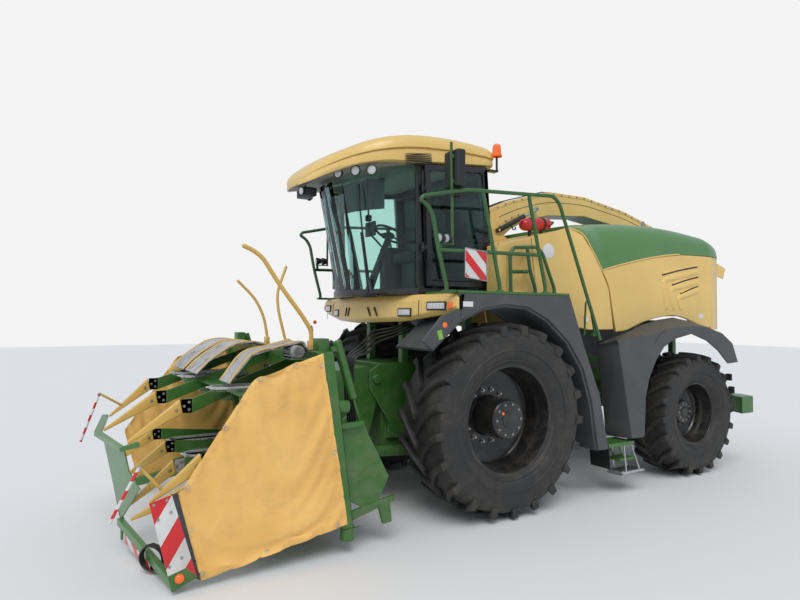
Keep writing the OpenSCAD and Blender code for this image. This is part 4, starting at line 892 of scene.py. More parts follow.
def hang(obj):
    """Lets the cloth sag between its pinned spots, and caps how far it moves."""
    corners = obj.data.vertices
    start = [v.co.copy() for v in corners]
    held = obj.vertex_groups.new(name="pinned")
    for spot in border_places(0.26):
        near = [v.index for v in corners if (v.co.x - spot.x) ** 2 + (v.co.z - spot.y) ** 2 < 0.021 ** 2]
        held.add(near, 1.0, "REPLACE")
    held.add([v.index for v in corners if border_distance(v.co.x, v.co.z) < 0.012], 0.25, "ADD")
    cloth = obj.modifiers.new("hang", "CLOTH")
    for name, value in {"vertex_group_mass": "pinned", "quality": 6, "mass": 0.5, "shrink_min": -0.022,
                        "bending_stiffness": 1.2, "tension_stiffness": 25, "compression_stiffness": 25}.items():
        setattr(cloth.settings, name, value)
    cloth.collision_settings.use_collision = False
    for v in corners:
        v.co.y += 0.004 * noise.noise(v.co * 3.1) + 0.002 * noise.noise(v.co * 9.0)
    for step in range(1, 26):
        scene.frame_set(step)
    bpy.context.view_layer.objects.active = obj
    bpy.ops.object.modifier_apply(modifier="hang")
    scene.frame_set(1)
    for v, was in zip(obj.data.vertices, start):
        x, y, z = v.co - was
        v.co = was + Vector((max(-0.012, min(0.012, x)), 0.013 * math.tanh(y / 0.013), max(-0.012, min(0.012, z))))


cloth = Look("tarpaulin", (0.88, 0.50, 0.135), 0.5)
cloth.place = cloth.add("UVMap", {}, "UV")
tone = cloth.ramp(cloth.noise(1.6, 4, 0.55, 0.4), (0.3, (0.80, 0.44, 0.105)), (0.72, (0.93, 0.57, 0.17)))
soiled = cloth.ramp(cloth.noise(5.0, 8, 0.65, 0.3), (0.5, 0.0), (0.8, 0.28))
cloth.put(Base_Color=cloth.mix(soiled, tone, (0.34, 0.24, 0.12)))
cloth.put(Roughness=cloth.plus(cloth.times(soiled, 0.5), 0.42))
thread = cloth.add("TexChecker", {"Scale": 700, "Vector": cloth.place}, "Fac")
cloth.bump(cloth.plus(cloth.noise(3.2, 2, 0.5, 1.6), cloth.times(thread, 0.03)), 0.35, 0.02)
tarpaulin = cloth.material

for side, word in sides:
    name = f"cover_{word}"
    sheet = cut_cloth(side * (HEADER_SIDE + 0.009))
    hang(sheet)
    for v in sheet.data.vertices:
        v.co.y = side * max(HEADER_SIDE + 0.001, abs(v.co.y))
    hem = show("hem", sheet.data.copy())
    band = bmesh.new()
    band.from_mesh(hem.data)
    middles = [(face, face.calc_center_median()) for face in band.faces]
    inner = [face for face, middle in middles if border_distance(middle.x, middle.z) > 0.042]
    bmesh.ops.delete(band, geom=inner, context="FACES")
    band.to_mesh(hem.data)
    band.free()
    for v in hem.data.vertices:
        v.co.y += side * 0.0025
    for obj, thick in ((sheet, 0.0012), (hem, 0.0022)):
        obj.vertex_groups.clear()
        modify(obj, "SOLIDIFY", thickness=thick, offset=0)
    ring = primitive("torus", major_radius=0.016, minor_radius=0.0035, major_segments=20, minor_segments=8)
    rings = []
    for spot in border_places(0.9):
        near = min(sheet.data.vertices, key=lambda v: (v.co.x - spot.x) ** 2 + (v.co.z - spot.y) ** 2)
        rings.append(Matrix.Translation((spot.x, near.co.y + side * 0.004, spot.y))
                     @ Matrix.Rotation(math.radians(90), 4, "X"))
    copies(settle(ring), rings)
    on_header(sheet, f"{name}_cloth", tarpaulin, angle=60, stands_for="side_covers")
    on_header(hem, f"{name}_hem", tarpaulin, angle=60)
    on_header(ring, f"{name}_eyelets", aluminium)

# %% [markdown]
# ## Boards and poles that warn the traffic
#
# The near board is a sheet of aluminium with red and white bands, screwed to the rail of the guard, with
# a green corner that carries an orange side lamp and a riveted strip beside it. The poles are tubes
# banded along their length. Bands are cut by the place on the object, so the colour changes exactly
# square to the given direction.

# %% Striped board, narrow board and poles
def on_cover(outline, near, far, width=0.001):
    """Plate that stands out from the header's side between two heights."""
    return plate(outline, HEADER_SIDE + near, HEADER_SIDE + far, width)


board = on_cover([(3.215, 0.037), (3.377, 0.682), (3.224, 0.722), (3.043, 0.113)], 0.0205, 0.0265, 0.0015)
on_header(board, "side_board", side_stripes, stands_for="warning_boards")
strip = on_cover([(3.014, 0.074), (3.044, 0.088), (3.222, 0.724), (3.184, 0.732)], 0.0195, 0.0235)
rivets = bolts([at(3.028 + 0.0272 * i, HEADER_SIDE + 0.0235, 0.120 + 0.0975 * i, (0, 1, 0)) for i in range(7)],
               0.006, 0.004)
on_header([strip, rivets], "board_strip", cast_grey)
corner = on_cover([(3.215, 0.030), (3.246, 0.150), (3.120, 0.185), (3.036, 0.104)], 0.021, 0.028)
trim = box((3.205, HEADER_SIDE + 0.019, 0.040), (3.222, HEADER_SIDE + 0.028, 0.052), 0.002)
on_header([corner, trim], "board_corner", green)
lamp = [(0, 0.022), (0.022, 0.020), (0.031, 0.013), (0.034, 0.004), (0.034, 0), (0, 0)]
on_header(knob(lamp, (3.165, HEADER_SIDE + 0.027, 0.118), (0, 1, 0)), "board_lamp", orange_lens)
screws = ((3.235, 0.215), (3.150, 0.262), (3.315, 0.560), (3.228, 0.600), (3.345, 0.668), (3.258, 0.690))
on_header(bolts([at(x, HEADER_SIDE + 0.0265, z, (0, 1, 0)) for x, z in screws], 0.008, 0.005), "board_screws",
          bare_steel)


def under_bar(y, dx, dz):
    """Point under the slanting guard bar at y."""
    return (3.408 - (y - 0.2) * 0.1758 + dx + AXLE, y, 0.204 - (y - 0.2) * 0.1145 - dz)


narrow = mesh_of("narrow", [under_bar(0.42, 0.028, 0.028), under_bar(1.02, 0.028, 0.028),
                            under_bar(1.02, 0.020, 0.098), under_bar(0.42, 0.020, 0.098)], [], [(0, 1, 2, 3)])
on_header(bevel(modify(narrow, "SOLIDIFY", thickness=0.004, offset=0), 0.001, 1), "front_board", front_stripes)
poles = [rod((3.435, 1.423, 0.930), (3.622, 1.423, 0.566), 0.0115, 24, 0.003),
         rod((3.509, -0.697, 1.220), (3.668, -0.697, 0.761), 0.0115, 24, 0.003)]
on_header(poles, "striped_poles", pole_stripes)
hinges = [rod((3.435, 1.400, 0.925), (3.435, 1.432, 0.925), 0.014, 20, 0.002),
          rod((3.509, -0.725, 1.215), (3.509, -0.688, 1.215), 0.014, 20, 0.002)]
on_header(hinges, "pole_hinges", bare_steel)
print("boards and poles")

# %% [markdown]
# ## Points that part the rows
#
# Each divider is a bent sheet that tapers to a rounded nose. A cube is drawn out between its root and its
# tip and its edges are rounded. A bolt holds each root to its green gusset.

# %% Dividers and their bolts
# Columns: y, x and z of the root, x and z of the tip
rows = [(-0.750, 3.040, 1.290, 3.410, 0.985), (0, 3.090, 1.240, 3.530, 0.975), (0.750, 3.020, 1.245, 3.430, 0.985),
        (-1.150, 2.930, 0.690, 3.340, 0.410), (-0.400, 2.930, 0.690, 3.340, 0.410),
        (0.400, 3.000, 0.675, 3.380, 0.375), (1.150, 3.000, 0.660, 3.450, 0.490), (1.400, 3.000, 0.920, 3.360, 0.665)]
noses, nose_bolts = [], []
for y, x0, z0, x1, z1 in rows:
    nose = primitive("cube", size=2)
    for v in nose.data.vertices:
        root = v.co.x < 0
        x, z, w, h = (x0, z0, 0.034, 0.058) if root else (x1, z1, 0.011, 0.013)
        lean = 0.012 * v.co.z if root else 0
        v.co = (x + AXLE + lean, y + v.co.y * w * (1 if v.co.z < 0 else 0.8), z + v.co.z * h)
    noses.append(bevel(nose, 0.009, 3))
    way = Vector((x1 - x0, z1 - z0)).normalized() * 0.05
    nose_bolts += [at(x0 + way.x, y + s * 0.031, z0 + way.y, (0, s, 0)) for s in both]
arms = [rod((3.270, 1.400, 0.735), (3.433, 1.400, 0.931), 0.012, 20, 0.002),
        rod((3.290, -0.745, 1.085), (3.509, -0.720, 1.225), 0.012, 20, 0.002)]
on_header(noses + arms, "divider_noses", deep_yellow, angle=40, stands_for="dividers")
on_header(bolts(nose_bolts, 0.010, 0.007), "divider_bolts", bare_steel)
on_header([box((x0 - 0.09, y - 0.006, z0 - 0.06), (x0, y + 0.006, z0 + 0.06), 0.002) for y, x0, z0, *_ in rows],
          "row_gussets", green)
gusset_holes = ((-0.065, 0.03), (-0.065, -0.03), (-0.025, 0))
on_header(bolts([at(x0 + dx, y + s * 0.008, z0 + dz, (0, s, 0)) for y, x0, z0, *_ in rows for s in both
                 for dx, dz in gusset_holes], 0.009, 0.006), "gusset_bolts", bare_steel)
print(len(rows), "dividers")

# %% [markdown]
# ## Skids, tracks and chains
#
# Bright steel sheets curve over the folded row units, and below them flat loops carry the chains that
# draw the maize in. The sheets follow a smooth curve through a few points. A chain is one link and one
# tooth, copied round the loop.

# %% Skids over the rows
def curved_sheet(path, y_in, y_out, thick, lift):
    ends = [[2 * a - b for a, b in zip(path[i], path[j])] for i, j in ((0, 1), (-1, -2))]
    columns, width = between([ends[0]] + path + [ends[1]], 8)[8:-8], y_out - y_in
    shape = [[(x, y_in + width * k / 4, z + lift) for x, z in columns] for k in range(5)]
    sheet = skin(shape, closed=False, ends=False)
    modify(sheet, "SOLIDIFY", thickness=thick, offset=0)
    return bevel(sheet, 0.0015, 2, 50)


over = [(1.950, 1.700), (2.030, 1.702), (2.200, 1.738), (2.380, 1.722), (2.500, 1.658), (2.640, 1.558),
        (2.750, 1.448)]
near_over = [(1.950, 1.700), (2.030, 1.704), (2.091, 1.771), (2.292, 1.730), (2.525, 1.669), (2.707, 1.445)]
skids = [curved_sheet(path, low, high, 0.008, 0.006)
         for path, low, high in ((over, -1.0, -0.45), (over, -0.36, 0.14), (near_over, 0.78, 1.1))]
on_header(skids, "row_skids", worn_steel, angle=40, stands_for="skid_straps")
rims = [curved_sheet(path, low, high, 0.010, 0.013) for path, low, high in (
    (over, -0.985, -0.94), (over, -0.51, -0.465), (over, -0.345, -0.30), (over, 0.08, 0.125),
    (near_over, 0.785, 0.825), (near_over, 1.055, 1.095))]
on_header(rims, "skid_rims", deep_yellow, angle=40)
print(len(skids), "skids with", len(rims), "rims")


# %% Tracks and chains
TRACK_RADIUS, TRACK_BACK, TRACK_FRONT, TRACK_THICK = 0.110, 2.290, 2.720, 0.020


def loop_places(y, z, radius, count):
    """Matrices spaced evenly round a flat loop with round ends."""
    straight, arc = TRACK_FRONT - TRACK_BACK, math.pi * radius
    spots = []
    for i in range(count):
        half, d = divmod(2 * (straight + arc) * i / count, straight + arc)
        turn = max(0.0, d - straight) / radius
        x = min(d, straight) + radius * math.sin(turn)
        dy = -radius * math.cos(turn)
        x, dy = (TRACK_FRONT - x, -dy) if half else (TRACK_BACK + x, dy)
        spots.append(move(x, y + dy, z) @ Matrix.Rotation(turn + math.pi * half, 4, "Z"))
    return spots


link = block((-0.017, -0.010, 0), (0.017, 0.010, 0.018), 0.004)
tooth = plate([(x - AXLE, z) for x, z in ((-0.016, 0.004), (0.016, 0.004), (0.010, 0.016), (-0.010, 0.016))],
              -0.032, -0.008, 0.002)
tracks = [(-0.595, 1.380), (-0.190, 1.380), (0.960, 1.380), (-0.775, 0.650), (0.0, 0.650), (0.775, 0.650)]
link_spots, tooth_spots, plates = [], [], []
for y, z in tracks:
    obj = primitive("cylinder", vertices=48, radius=TRACK_RADIUS, depth=TRACK_THICK)
    for v in obj.data.vertices:
        v.co.x += (TRACK_FRONT if v.co.x > 0 else TRACK_BACK) + AXLE
        v.co.y += y
        v.co.z += z + TRACK_THICK / 2
    plates.append(bevel(obj, 0.003, 2, 60))
    link_spots += loop_places(y, z + TRACK_THICK, TRACK_RADIUS, 42)
    tooth_spots += loop_places(y, z + TRACK_THICK, TRACK_RADIUS + 0.002, 14)
on_header(plates, "chain_tracks", green)
on_header([copies(link, link_spots), copies(tooth, tooth_spots)], "gathering_chains", worn_steel, angle=45)

motor_at, outwards = (2.157, 0.950, 1.697), (0, 1, 0)
motor = knob([(0, 0.250), (0.040, 0.250), (0.044, 0.243), (0.045, 0.205), (0.052, 0.200), (0.055, 0.192),
              (0.055, 0.010), (0.050, 0), (0, 0)], motor_at, outwards, 48)
on_header([motor, box((2.110, 0.970, 1.640), (2.205, 1.180, 1.662))], "header_motor", black_paint)
ring = [(0.038, 0.256), (0.045, 0.256), (0.046, 0.250), (0.046, 0.243), (0.038, 0.243)]
on_header(knob(ring, motor_at, outwards, 48, ring=True), "motor_ring", bare_steel)
print("header rows done")

# %% [markdown]
# ## Body panels
#
# The real panels are pressed sheet and moulded plastic, so every edge is rolled over a radius that
# catches the light. The CAD nodes have the right faces; a copy of each gets its split triangles merged
# and a rounded bevel. The step beside the cab is pressed into the front box, which a cutter does here.

# %% Rounded copies of the panels
BODY_SIDE = 1.200
step_low = [(-0.375, 2.272), (-0.140, 2.272), (-0.140, 2.640), (-0.375, 2.655)]
softened("body_front", yellow, 0.012, cuts=[plate(step_low, side * 1.172, side * 1.24, 0) for side in both])
for node, look, width, segments in (
        ("spout_collar", yellow, 0.004, 3), ("rear_panel", yellow, 0.012, 3),
        ("front_fenders", fender_grey, 0.010, 3),
        ("rear_fenders", fender_grey, 0.010, 3), ("front_bumper", yellow, 0.012, 3), ("platform", green, 0.004, 2),
        ("rear_bumper", green, 0.008, 2), ("chopper_housing", green, 0.01, 2), ("intake_housing", green, 0.008, 2),
        ("main_frame", green, 0.006, 2), ("rear_axle", green, 0.008, 2), ("header_frame", green, 0.006, 2),
        ("header_rows", green, 0.004, 2), ("guard_frame", bright_green, 0.005, 2),
        ("cab_frame", black_paint, 0.006, 2),
        ("door_frame", black_paint, 0.006, 2), ("skid_straps", worn_steel, 0.002, 1),
        ("mirrors", black_plastic, 0.018, 4),
        ("spout_elbow", yellow, 0.007, 3), ("spout_arm", yellow, 0.007, 3), ("spout_flap", yellow, 0.004, 3),
        ("spout_turret", yellow, 0.004, 3)):
    softened(node, look, width, segments)
print("rounded the panels")

# %% [markdown]
# The step's back gets its own floor: a slanted tread above a plain face. A white speed disc with
# nothing on it sits behind the crease.

# %% Step and disc
fold = [(-0.489, 2.855), (-0.517, 2.562), (-0.559, 2.262)]
for side, word in sides:
    tread = skin([[(x, side * y, z) for x, y, z in loop] for loop in (
        [(-0.370, 1.174, 2.56), (-0.145, 1.174, 2.60), (-0.145, 1.199, 2.645), (-0.370, 1.199, 2.655)],
        [(-0.370, 1.170, 2.56), (-0.145, 1.170, 2.60), (-0.145, 1.190, 2.65), (-0.370, 1.190, 2.66)])])
    piece(tread, f"step_top_{word}", yellow)
    lip = bent(flat([(-0.13, 2.26), (-0.13, 2.66), (-0.385, 2.675), (-0.385, 2.26)], side * BODY_SIDE), 0.007, 0.02)
    piece(lip, f"step_lip_{word}", yellow)
    # A thin dark line along the crease is painted shade in the fold, beside the rounded yellow ridge.
    piece(line(flat(fold, side * 1.2005), 0.0028, 3), f"box_crease_shade_{word}", black_plastic, slot="yellow_paint")
    piece(line(flat([(x - 0.018, z) for x, z in fold], side * 1.198), 0.008, 4), f"box_fold_{word}", yellow)
disc = [(0, 0.004), (0.080, 0.004), (0.082, 0.003), (0.082, 0), (0, 0)]
piece(knob(disc, (-0.746, 1.1995, 2.726), (0, 1, 0), 64), "speed_disc", white_plain)
print("steps and speed disc")

# %% [markdown]
# ## Hood, strip and side covers of the engine
#
# Seen from the side the hood is one long soft wave. Rows of the CAD section are joined by a smooth
# curve and the skin gets its wall afterwards. A pale lip runs along its lower edge and down the front
# of the flap; the strip in front of it is a separate pressing.

# %% Hood
# Columns: x, half width, height of the lower edge, height of the crown
hood_rows = [
    (-1.070, 1.200, 3.000, 3.040), (-1.280, 1.200, 2.945, 3.078), (-1.440, 1.200, 2.770, 3.112),
    (-1.600, 1.200, 2.550, 3.140), (-2.080, 1.200, 2.660, 3.185), (-2.550, 1.200, 2.750, 3.200),
    (-3.050, 1.200, 2.812, 3.190), (-3.580, 1.200, 2.824, 3.140), (-3.740, 1.198, 2.824, 3.115),
    (-4.000, 1.120, 2.824, 3.055), (-4.250, 0.955, 2.824, 2.980), (-4.400, 0.705, 2.824, 2.935),
    (-4.452, 0.420, 2.824, 2.900)]
# Shape across: share of the half width, share of the height
arch = between([(1, 0), (0.992, 0.25), (0.978, 0.5), (0.93, 0.76), (0.82, 0.93), (0.60, 1.0), (0.30, 1.015),
                (0, 1.02)], 3)
fine_rows = between(hood_rows[:4], 5)[:-1] + between(hood_rows[3:], 4)


def hood_loop(row, rise=1):
    x, half, low, high = row
    points = [(x, share * half, low + rise * (up * (high - low))) for share, up in arch]
    return points + [(px, -py, pz) for px, py, pz in reversed(points[:-1])]


hood = skin([hood_loop(fine_rows[0], 0)] + [hood_loop(row) for row in fine_rows] + [hood_loop(fine_rows[-1], 0)],
            closed=False, ends=False)
modify(hood, "SOLIDIFY", thickness=0.012, offset=-1)
piece(hood, "hood_skin", bright_green, angle=50, stands_for="hood_top")

# %% Side flaps with their slots, ribs and lips
top_edge = [(row[0], row[2] - 0.004) for row in between(hood_rows[3:9], 4)]
wheel_arch = between([(-1.835, 1.830), (-2.020, 1.845), (-2.300, 1.935), (-2.600, 1.995), (-2.900, 2.025),
                      (-3.160, 1.990), (-3.520, 1.890), (-3.730, 1.868)], 4)
flap_front = between([(-1.610, 2.545), (-1.720, 2.350), (-1.775, 2.10), (-1.835, 1.830)], 3)
slots = [[(-2.701, 2.537), (-3.060, 2.612), (-3.430, 2.671)], [(-2.900, 2.417), (-3.170, 2.485), (-3.449, 2.539)],
         [(-3.062, 2.305), (-3.250, 2.368), (-3.447, 2.420)]]
# Ribs: left end and its height, right end and its height
ribs = [(-2.775, 2.455, -3.43, 2.600), (-2.925, 2.345, -3.445, 2.470), (-3.075, 2.235, -3.445, 2.355)]
strip_front = between([(-0.925, 2.965), (-1.05, 2.66), (-1.16, 2.38), (-1.27, 2.10), (-1.36, 1.862)], 4)
strip_back = between([(-1.085, 3.00), (-1.33, 2.87), (-1.52, 2.62), (-1.70, 2.30), (-1.79, 1.862)], 4)


def pressed(obj, side, level, share):
    """Squeezes a tube on a side wall to a share of its height above level."""
    for corner in obj.data.vertices:
        corner.co.y = side * (level + (abs(corner.co.y) - level) * share)
    return obj


for side, word in sides:
    on_flap = partial(piece, body=f"flap_{word}")
    outline = top_edge + wheel_arch[::-1] + flap_front[1:-1][::-1]
    panel = bevel(plate(outline, side * 1.165, side * 1.202, 0), 0.014, 4, 60)
    even(on_flap(panel, f"flap_panel_{word}", yellow, stands_for=f"side_flap_{word}"))
    raised = [pressed(bent(flat([(far, high), (left + 0.06, low + 0.02), (left - 0.005, 2.115)], side * BODY_SIDE),
                           0.036, 0.09, 6), side, BODY_SIDE, 0.42) for left, low, far, high in ribs]
    raised += [line(flat([(x - 0.01, z + 0.019) for x, z in path], side * 1.203), 0.011, 4) for path in slots]
    on_flap(raised, f"flap_ribs_{word}", yellow, angle=60)
    # Under each slot's raised lip a flat dark band is painted shade in the slot.
    dark = [pressed(line(flat(path, side * 1.2022), 0.012, 4), side, 1.2022, 0.15) for path in slots]
    on_flap(dark, f"flap_slots_{word}", black_plastic, slot="yellow_paint")
    on_flap(line(flat(flap_front, side * 1.203), 0.008, 4), f"flap_lip_{word}", yellow)
    edge = [(row[0], side * (row[1] + 0.001), row[2] + 0.004) for row in fine_rows[:-24]]
    piece(line(edge, 0.009, 4), f"hood_lip_{word}", yellow)
    loops = [[(a[0], side * 1.197, a[1]), (a[0] - 0.03, side * 1.205, a[1]),
              ((a[0] + b[0]) / 2, side * 1.209, (a[1] + b[1]) / 2), (b[0] + 0.03, side * 1.206, b[1]),
              (b[0], side * 1.197, b[1])] for a, b in zip(strip_front, strip_back)]
    piece(skin(loops), f"corner_strip_{word}", yellow, angle=50)
print("hood, flaps and strips")

# %% [markdown]
# ## Cab roof
#
# The roof is one moulded shell: a low dome whose lower band stands back behind a crease, with an edge
# that rises over the windscreen. A row of slots at the back of the band lets air in, and round lamps
# look out from under its front lip.

# %% Roof shell
# Columns: x, half width, heights of the crease, the shoulder, the crown and the underside
roof_rows = between([
    (-0.220, 0.860, 3.700, 3.785, 3.800, 3.640), (-0.150, 0.950, 3.715, 3.855, 3.880, 3.634),
    (0.300, 0.985, 3.715, 3.880, 3.910, 3.594), (0.800, 0.985, 3.690, 3.860, 3.895, 3.552),
    (1.150, 0.930, 3.640, 3.795, 3.832, 3.530), (1.400, 0.790, 3.580, 3.695, 3.728, 3.488),
    (1.580, 0.590, 3.510, 3.610, 3.632, 3.430), (1.690, 0.360, 3.450, 3.520, 3.536, 3.385),
    (1.748, 0.130, 3.405, 3.445, 3.452, 3.368)], 5)


def roof_loop(row):
    x, half, edge, shoulder, crown, under = row
    wall, dome = shoulder - edge, crown - shoulder
    side = [(0.86, under + 0.012), (0.955, under), (0.982, under + 0.012), (0.988, (under + edge) / 2),
            (0.982, edge - 0.004), (0.968, edge), (0.968, edge + 0.008), (1, edge + 0.012),
            (0.998, edge + 0.3 * wall), (0.978, edge + 0.62 * wall), (0.93, edge + 0.86 * wall),
            (0.84, shoulder - 0.004),
            (0.68, shoulder + 0.4 * dome), (0.45, shoulder + 0.75 * dome), (0.22, shoulder + 0.94 * dome), (0, crown)]
    return [(x, share * half, z) for share, z in side] + [(x, -share * half, z) for share, z in side[-2::-1]]


piece(skin([roof_loop(row) for row in roof_rows]), "roof_shell", yellow, angle=48, stands_for="cab_roof")
liner = skin([[(row[0], 0.85 * row[1] * way, row[5] + lift)
               for way, lift in ((1, 0.010), (-1, 0.010), (-1, -0.002), (1, -0.002))] for row in roof_rows[2:]])
piece(liner, "roof_lining", lining, slot="yellow_paint", angle=30)

# %% Slots in the band, and lamps
grille = []
for side in both:
    for z in (3.640 - k * 0.0175 for k in range(6)):
        grille.append(line([(0.945, side * 0.976, z - 0.042), (0.80, side * 0.9765, z - 0.016),
                            (0.66, side * 0.9765, z - 0.002)], 0.0052, 3))
    grille.append(bent([(0.955, side * 0.974, 3.615), (0.955, side * 0.974, 3.505), (0.65, side * 0.975, 3.550),
                        (0.65, side * 0.975, 3.655), (0.955, side * 0.974, 3.615)], 0.003, 0.02, 3))
piece(grille, "roof_slots", black_plastic, slot="yellow_paint")

shells, glasses = [], []


def round_lamp(spot, toward, radius, depth=0.05):
    """Housing and lens of a round lamp that looks toward a direction."""
    shell = [(0.25 * radius, -depth), (0.7 * radius, -0.8 * depth), (radius, -0.2 * depth), (radius, 0.008),
             (0.92 * radius, 0.010), (0.90 * radius, 0.002), (0, 0.002)]
    glass = [(0.89 * radius, 0.001), (0.80 * radius, 0.007), (0.5 * radius, 0.012), (0, 0.014), (0, 0.001)]
    shells.append(knob(shell, spot, toward, 40))
    glasses.append(knob(glass, spot, toward, 40))


for side in both:
    for x, y, z, lean in ((1.470, 0.500, 3.452, 0.55), (1.372, 0.695, 3.450, 0.75), (1.245, 0.800, 3.452, 0.95)):
        round_lamp((x, side * y, z), (1, side * lean, -0.12), 0.052)
    for x in (0.782, 0.864):
        round_lamp((x, side * 1.425, 2.735), (1, side * 0.25, -0.05), 0.046, 0.07)
round_lamp((1.700, 0.10, 3.315), (1, 0.25, -0.1), 0.045, 0.07)
shells += [box((1.54, -0.12, 3.27), (1.67, 0.14, 3.36), 0.012), rod((1.60, 0.0, 3.34), (1.62, 0.0, 3.40), 0.014)]
piece(shells, "lamp_housings", black_plastic, slot="lamp_glass", stands_for="lamps")
piece(glasses, "lamp_lenses", clear_lens)
beacon = [(0.058, 0), (0.058, 0.018), (0.050, 0.024), (0.047, 0.09), (0.040, 0.125), (0.022, 0.140), (0, 0.143)]
piece(knob(beacon, (-0.212, 0.965, 3.745), steps=48), "beacon_lens", orange_lens)
print("roof and lamps")

# %% [markdown]
# ## Inside the cab
#
# Through the tinted panes one sees the seat, the wheel on its column, the console with its lever and a
# dark blind. The seat is foam under cloth: each cushion is a box that bulges towards its middle.

# %% Seat
def cushion(low, high, puff):
    """Soft box between two corners that bulges by puff in the middle of each face."""
    low, high = Vector((low[0] + AXLE, *low[1:])), Vector((high[0] + AXLE, *high[1:]))
    obj = block(low, high, min(high - low) * 0.22, 4)
    with editing(obj):
        bpy.ops.mesh.subdivide(number_cuts=3, smoothness=0)
    middle, half = (low + high) / 2, (high - low) / 2
    for corner in obj.data.vertices:
        u = [(corner.co[i] - middle[i]) / half[i] for i in range(3)]
        for i in range(3):
            j, k = (i + 1) % 3, (i + 2) % 3
            if abs(u[i]) > 0.97:
                corner.co[i] += math.copysign(puff * (1 - u[j] ** 2) * (1 - u[k] ** 2), u[i])
    return obj


for name, low, high, puff in (("cushion", (-0.05, -0.235, 2.64), (0.40, 0.235, 2.755), 0.012),
                              ("back", (-0.055, -0.225, 2.77), (0.045, 0.225, 3.24), 0.014),
                              ("head", (-0.050, -0.130, 3.25), (0.030, 0.130, 3.40), 0.010)):
    part = piece(cushion(low, high, puff), f"seat_{name}", seat_cloth, angle=60,
                 stands_for="seat" if name == "cushion" else None)
piece([box((0.05, -0.14, 2.31), (0.33, 0.14, 2.64), 0.02)]
      + [box((-0.03, side * 0.26 - 0.025, 2.90), (0.28, side * 0.26 + 0.025, 2.95), 0.018) for side in both],
      "seat_base", black_plastic)

# %% Wheel, column, console and screen
wheel = primitive("torus", major_radius=0.19, minor_radius=0.014, major_segments=56, minor_segments=12)
spokes = [rod((-AXLE, 0, -0.02), (0.185 * math.cos(a) - AXLE, 0.185 * math.sin(a), 0), 0.011, 10)
          for a in (0.3, 2.4, 4.5)]
hub = turned([(0, 0.012), (0.045, 0.010), (0.052, 0), (0.045, -0.04), (0, -0.045)], 32)
controls = [
    settle(joined([wheel, hub] + spokes), at(0.560, 0, 2.950, (-0.47, 0, 0.88))),
    plate([(0.800, 2.300), (0.880, 2.300), (0.600, 2.944), (0.555, 2.924)], -0.04, 0.04, 0.012),
    box((0.06, -0.42, 2.30), (0.48, -0.275, 2.84), 0.03), box((0.55, -0.60, 2.98), (0.58, -0.36, 3.16), 0.012),
    rod((0.45, -0.35, 2.82), (0.565, -0.47, 3.00), 0.012, 12),
    rod((0.40, -0.345, 2.83), (0.43, -0.345, 2.96), 0.012, 12),
    box((0.40, -0.375, 2.95), (0.47, -0.315, 3.02), 0.018)]
piece(controls, "cab_controls", black_plastic, stands_for="controls")
blind = skin([[(x, y, 3.44), (x, y, 3.12), (x - 0.006, y, 3.12), (x - 0.006, y, 3.44)]
              for x, y in ((0.99, 0.60), (1.10, 0.44), (1.17, 0.25), (1.20, 0.02))])
piece(blind, "sun_blind", blind_grey, slot="black_paint")
piece([box((1.05, 0.40, 3.00), (1.11, 0.46, 3.07), 0.015), rod((1.08, 0.43, 3.06), (1.10, 0.44, 3.45), 0.010, 10)],
      "inside_camera", black_plastic)
print("seat and controls")

# %% [markdown]
# The door has a bent grab handle on one foot and a seal along its opening. The wiper is an arm and a
# long blade above a small motor box.

# %% Wiper, handle and cab fittings
wiper = [line([(1.155, 0.575, 2.24), (1.20, 0.570, 2.60), (1.235, 0.560, 2.86)], 0.011, 4),
         line([(1.135, 0.555, 2.36), (1.185, 0.545, 2.70), (1.225, 0.530, 3.05), (1.245, 0.52, 3.36)], 0.009, 3),
         box((1.10, 0.50, 2.20), (1.24, 0.66, 2.245), 0.012)]
piece(wiper, "wiper", black_plastic, slot="black_paint")
edge = [(0.768, 0.905, 2.32), (0.775, 0.908, 2.75), (0.782, 0.910, 3.20), (0.790, 0.912, 3.53)]
piece([line([(x, side * y, z) for x, y, z in edge], 0.016, 4) for side in both], "screen_edges", black_plastic,
      slot="black_paint")
handle = [bent([(-0.095, 0.972, 2.925), (-0.090, 1.000, 2.925), (0.055, 1.000, 2.935), (0.060, 0.975, 2.935)],
               0.011, 0.015),
          box((-0.12, 0.964, 2.89), (-0.065, 0.985, 2.96), 0.008)]
piece(handle, "door_handle", black_plastic, "door", "black_paint")
seal = flat([(0.640, 2.375), (0.668, 3.487), (-0.025, 3.548), (-0.066, 2.860), (0.040, 2.845), (0.040, 2.375),
             (0.640, 2.375)], 0.968)
piece(bent(seal, 0.008, 0.05, 3), "door_seal", black_plastic, "door", "black_paint")
print("cab fitted")

# %% [markdown]
# ## Rails and board
#
# The rails are one bent steel tube each, welded to short posts on round feet. Every corner is a bend of
# about three tube radii, which the plain CAD path does not have.

# %% Rails on both sides
DECK = 2.250
outer_paths = [
    [(0.800, 2.240), (0.800, 2.290), (0.890, 2.620), (0.950, 2.930), (1.010, 3.020), (1.090, 3.065), (1.060, 3.105),
     (0.960, 3.125), (0.700, 3.185), (0.530, 3.215), (-0.570, 3.270), (-0.660, 3.200), (-1.270, 1.750)],
    [(0.160, DECK), (0.160, 2.310), (0.355, 3.160), (0.375, 3.212)],
    [(-0.450, DECK), (-0.450, 2.310), (-0.235, 3.200), (-0.230, 3.246)], [(0.890, 2.620), (-0.365, 2.640)]]
inner_paths = [
    [(-0.150, DECK), (-0.150, 2.310), (-0.140, 2.650), (-0.190, 2.725), (-0.500, 2.750), (-0.590, 2.700),
     (-0.770, 2.310), (-0.770, DECK)],
    [(-0.140, 2.470), (-0.380, 2.480)], [(-0.380, 2.740), (-0.420, 2.480), (-0.490, 2.310), (-0.490, DECK)]]
grip = [(-1.139, 1.30, 1.785), (-1.139, 1.345, 1.80), (-1.165, 1.345, 2.17), (-1.215, 1.345, 2.193),
        (-1.298, 1.345, 1.84), (-1.298, 1.30, 1.80)]
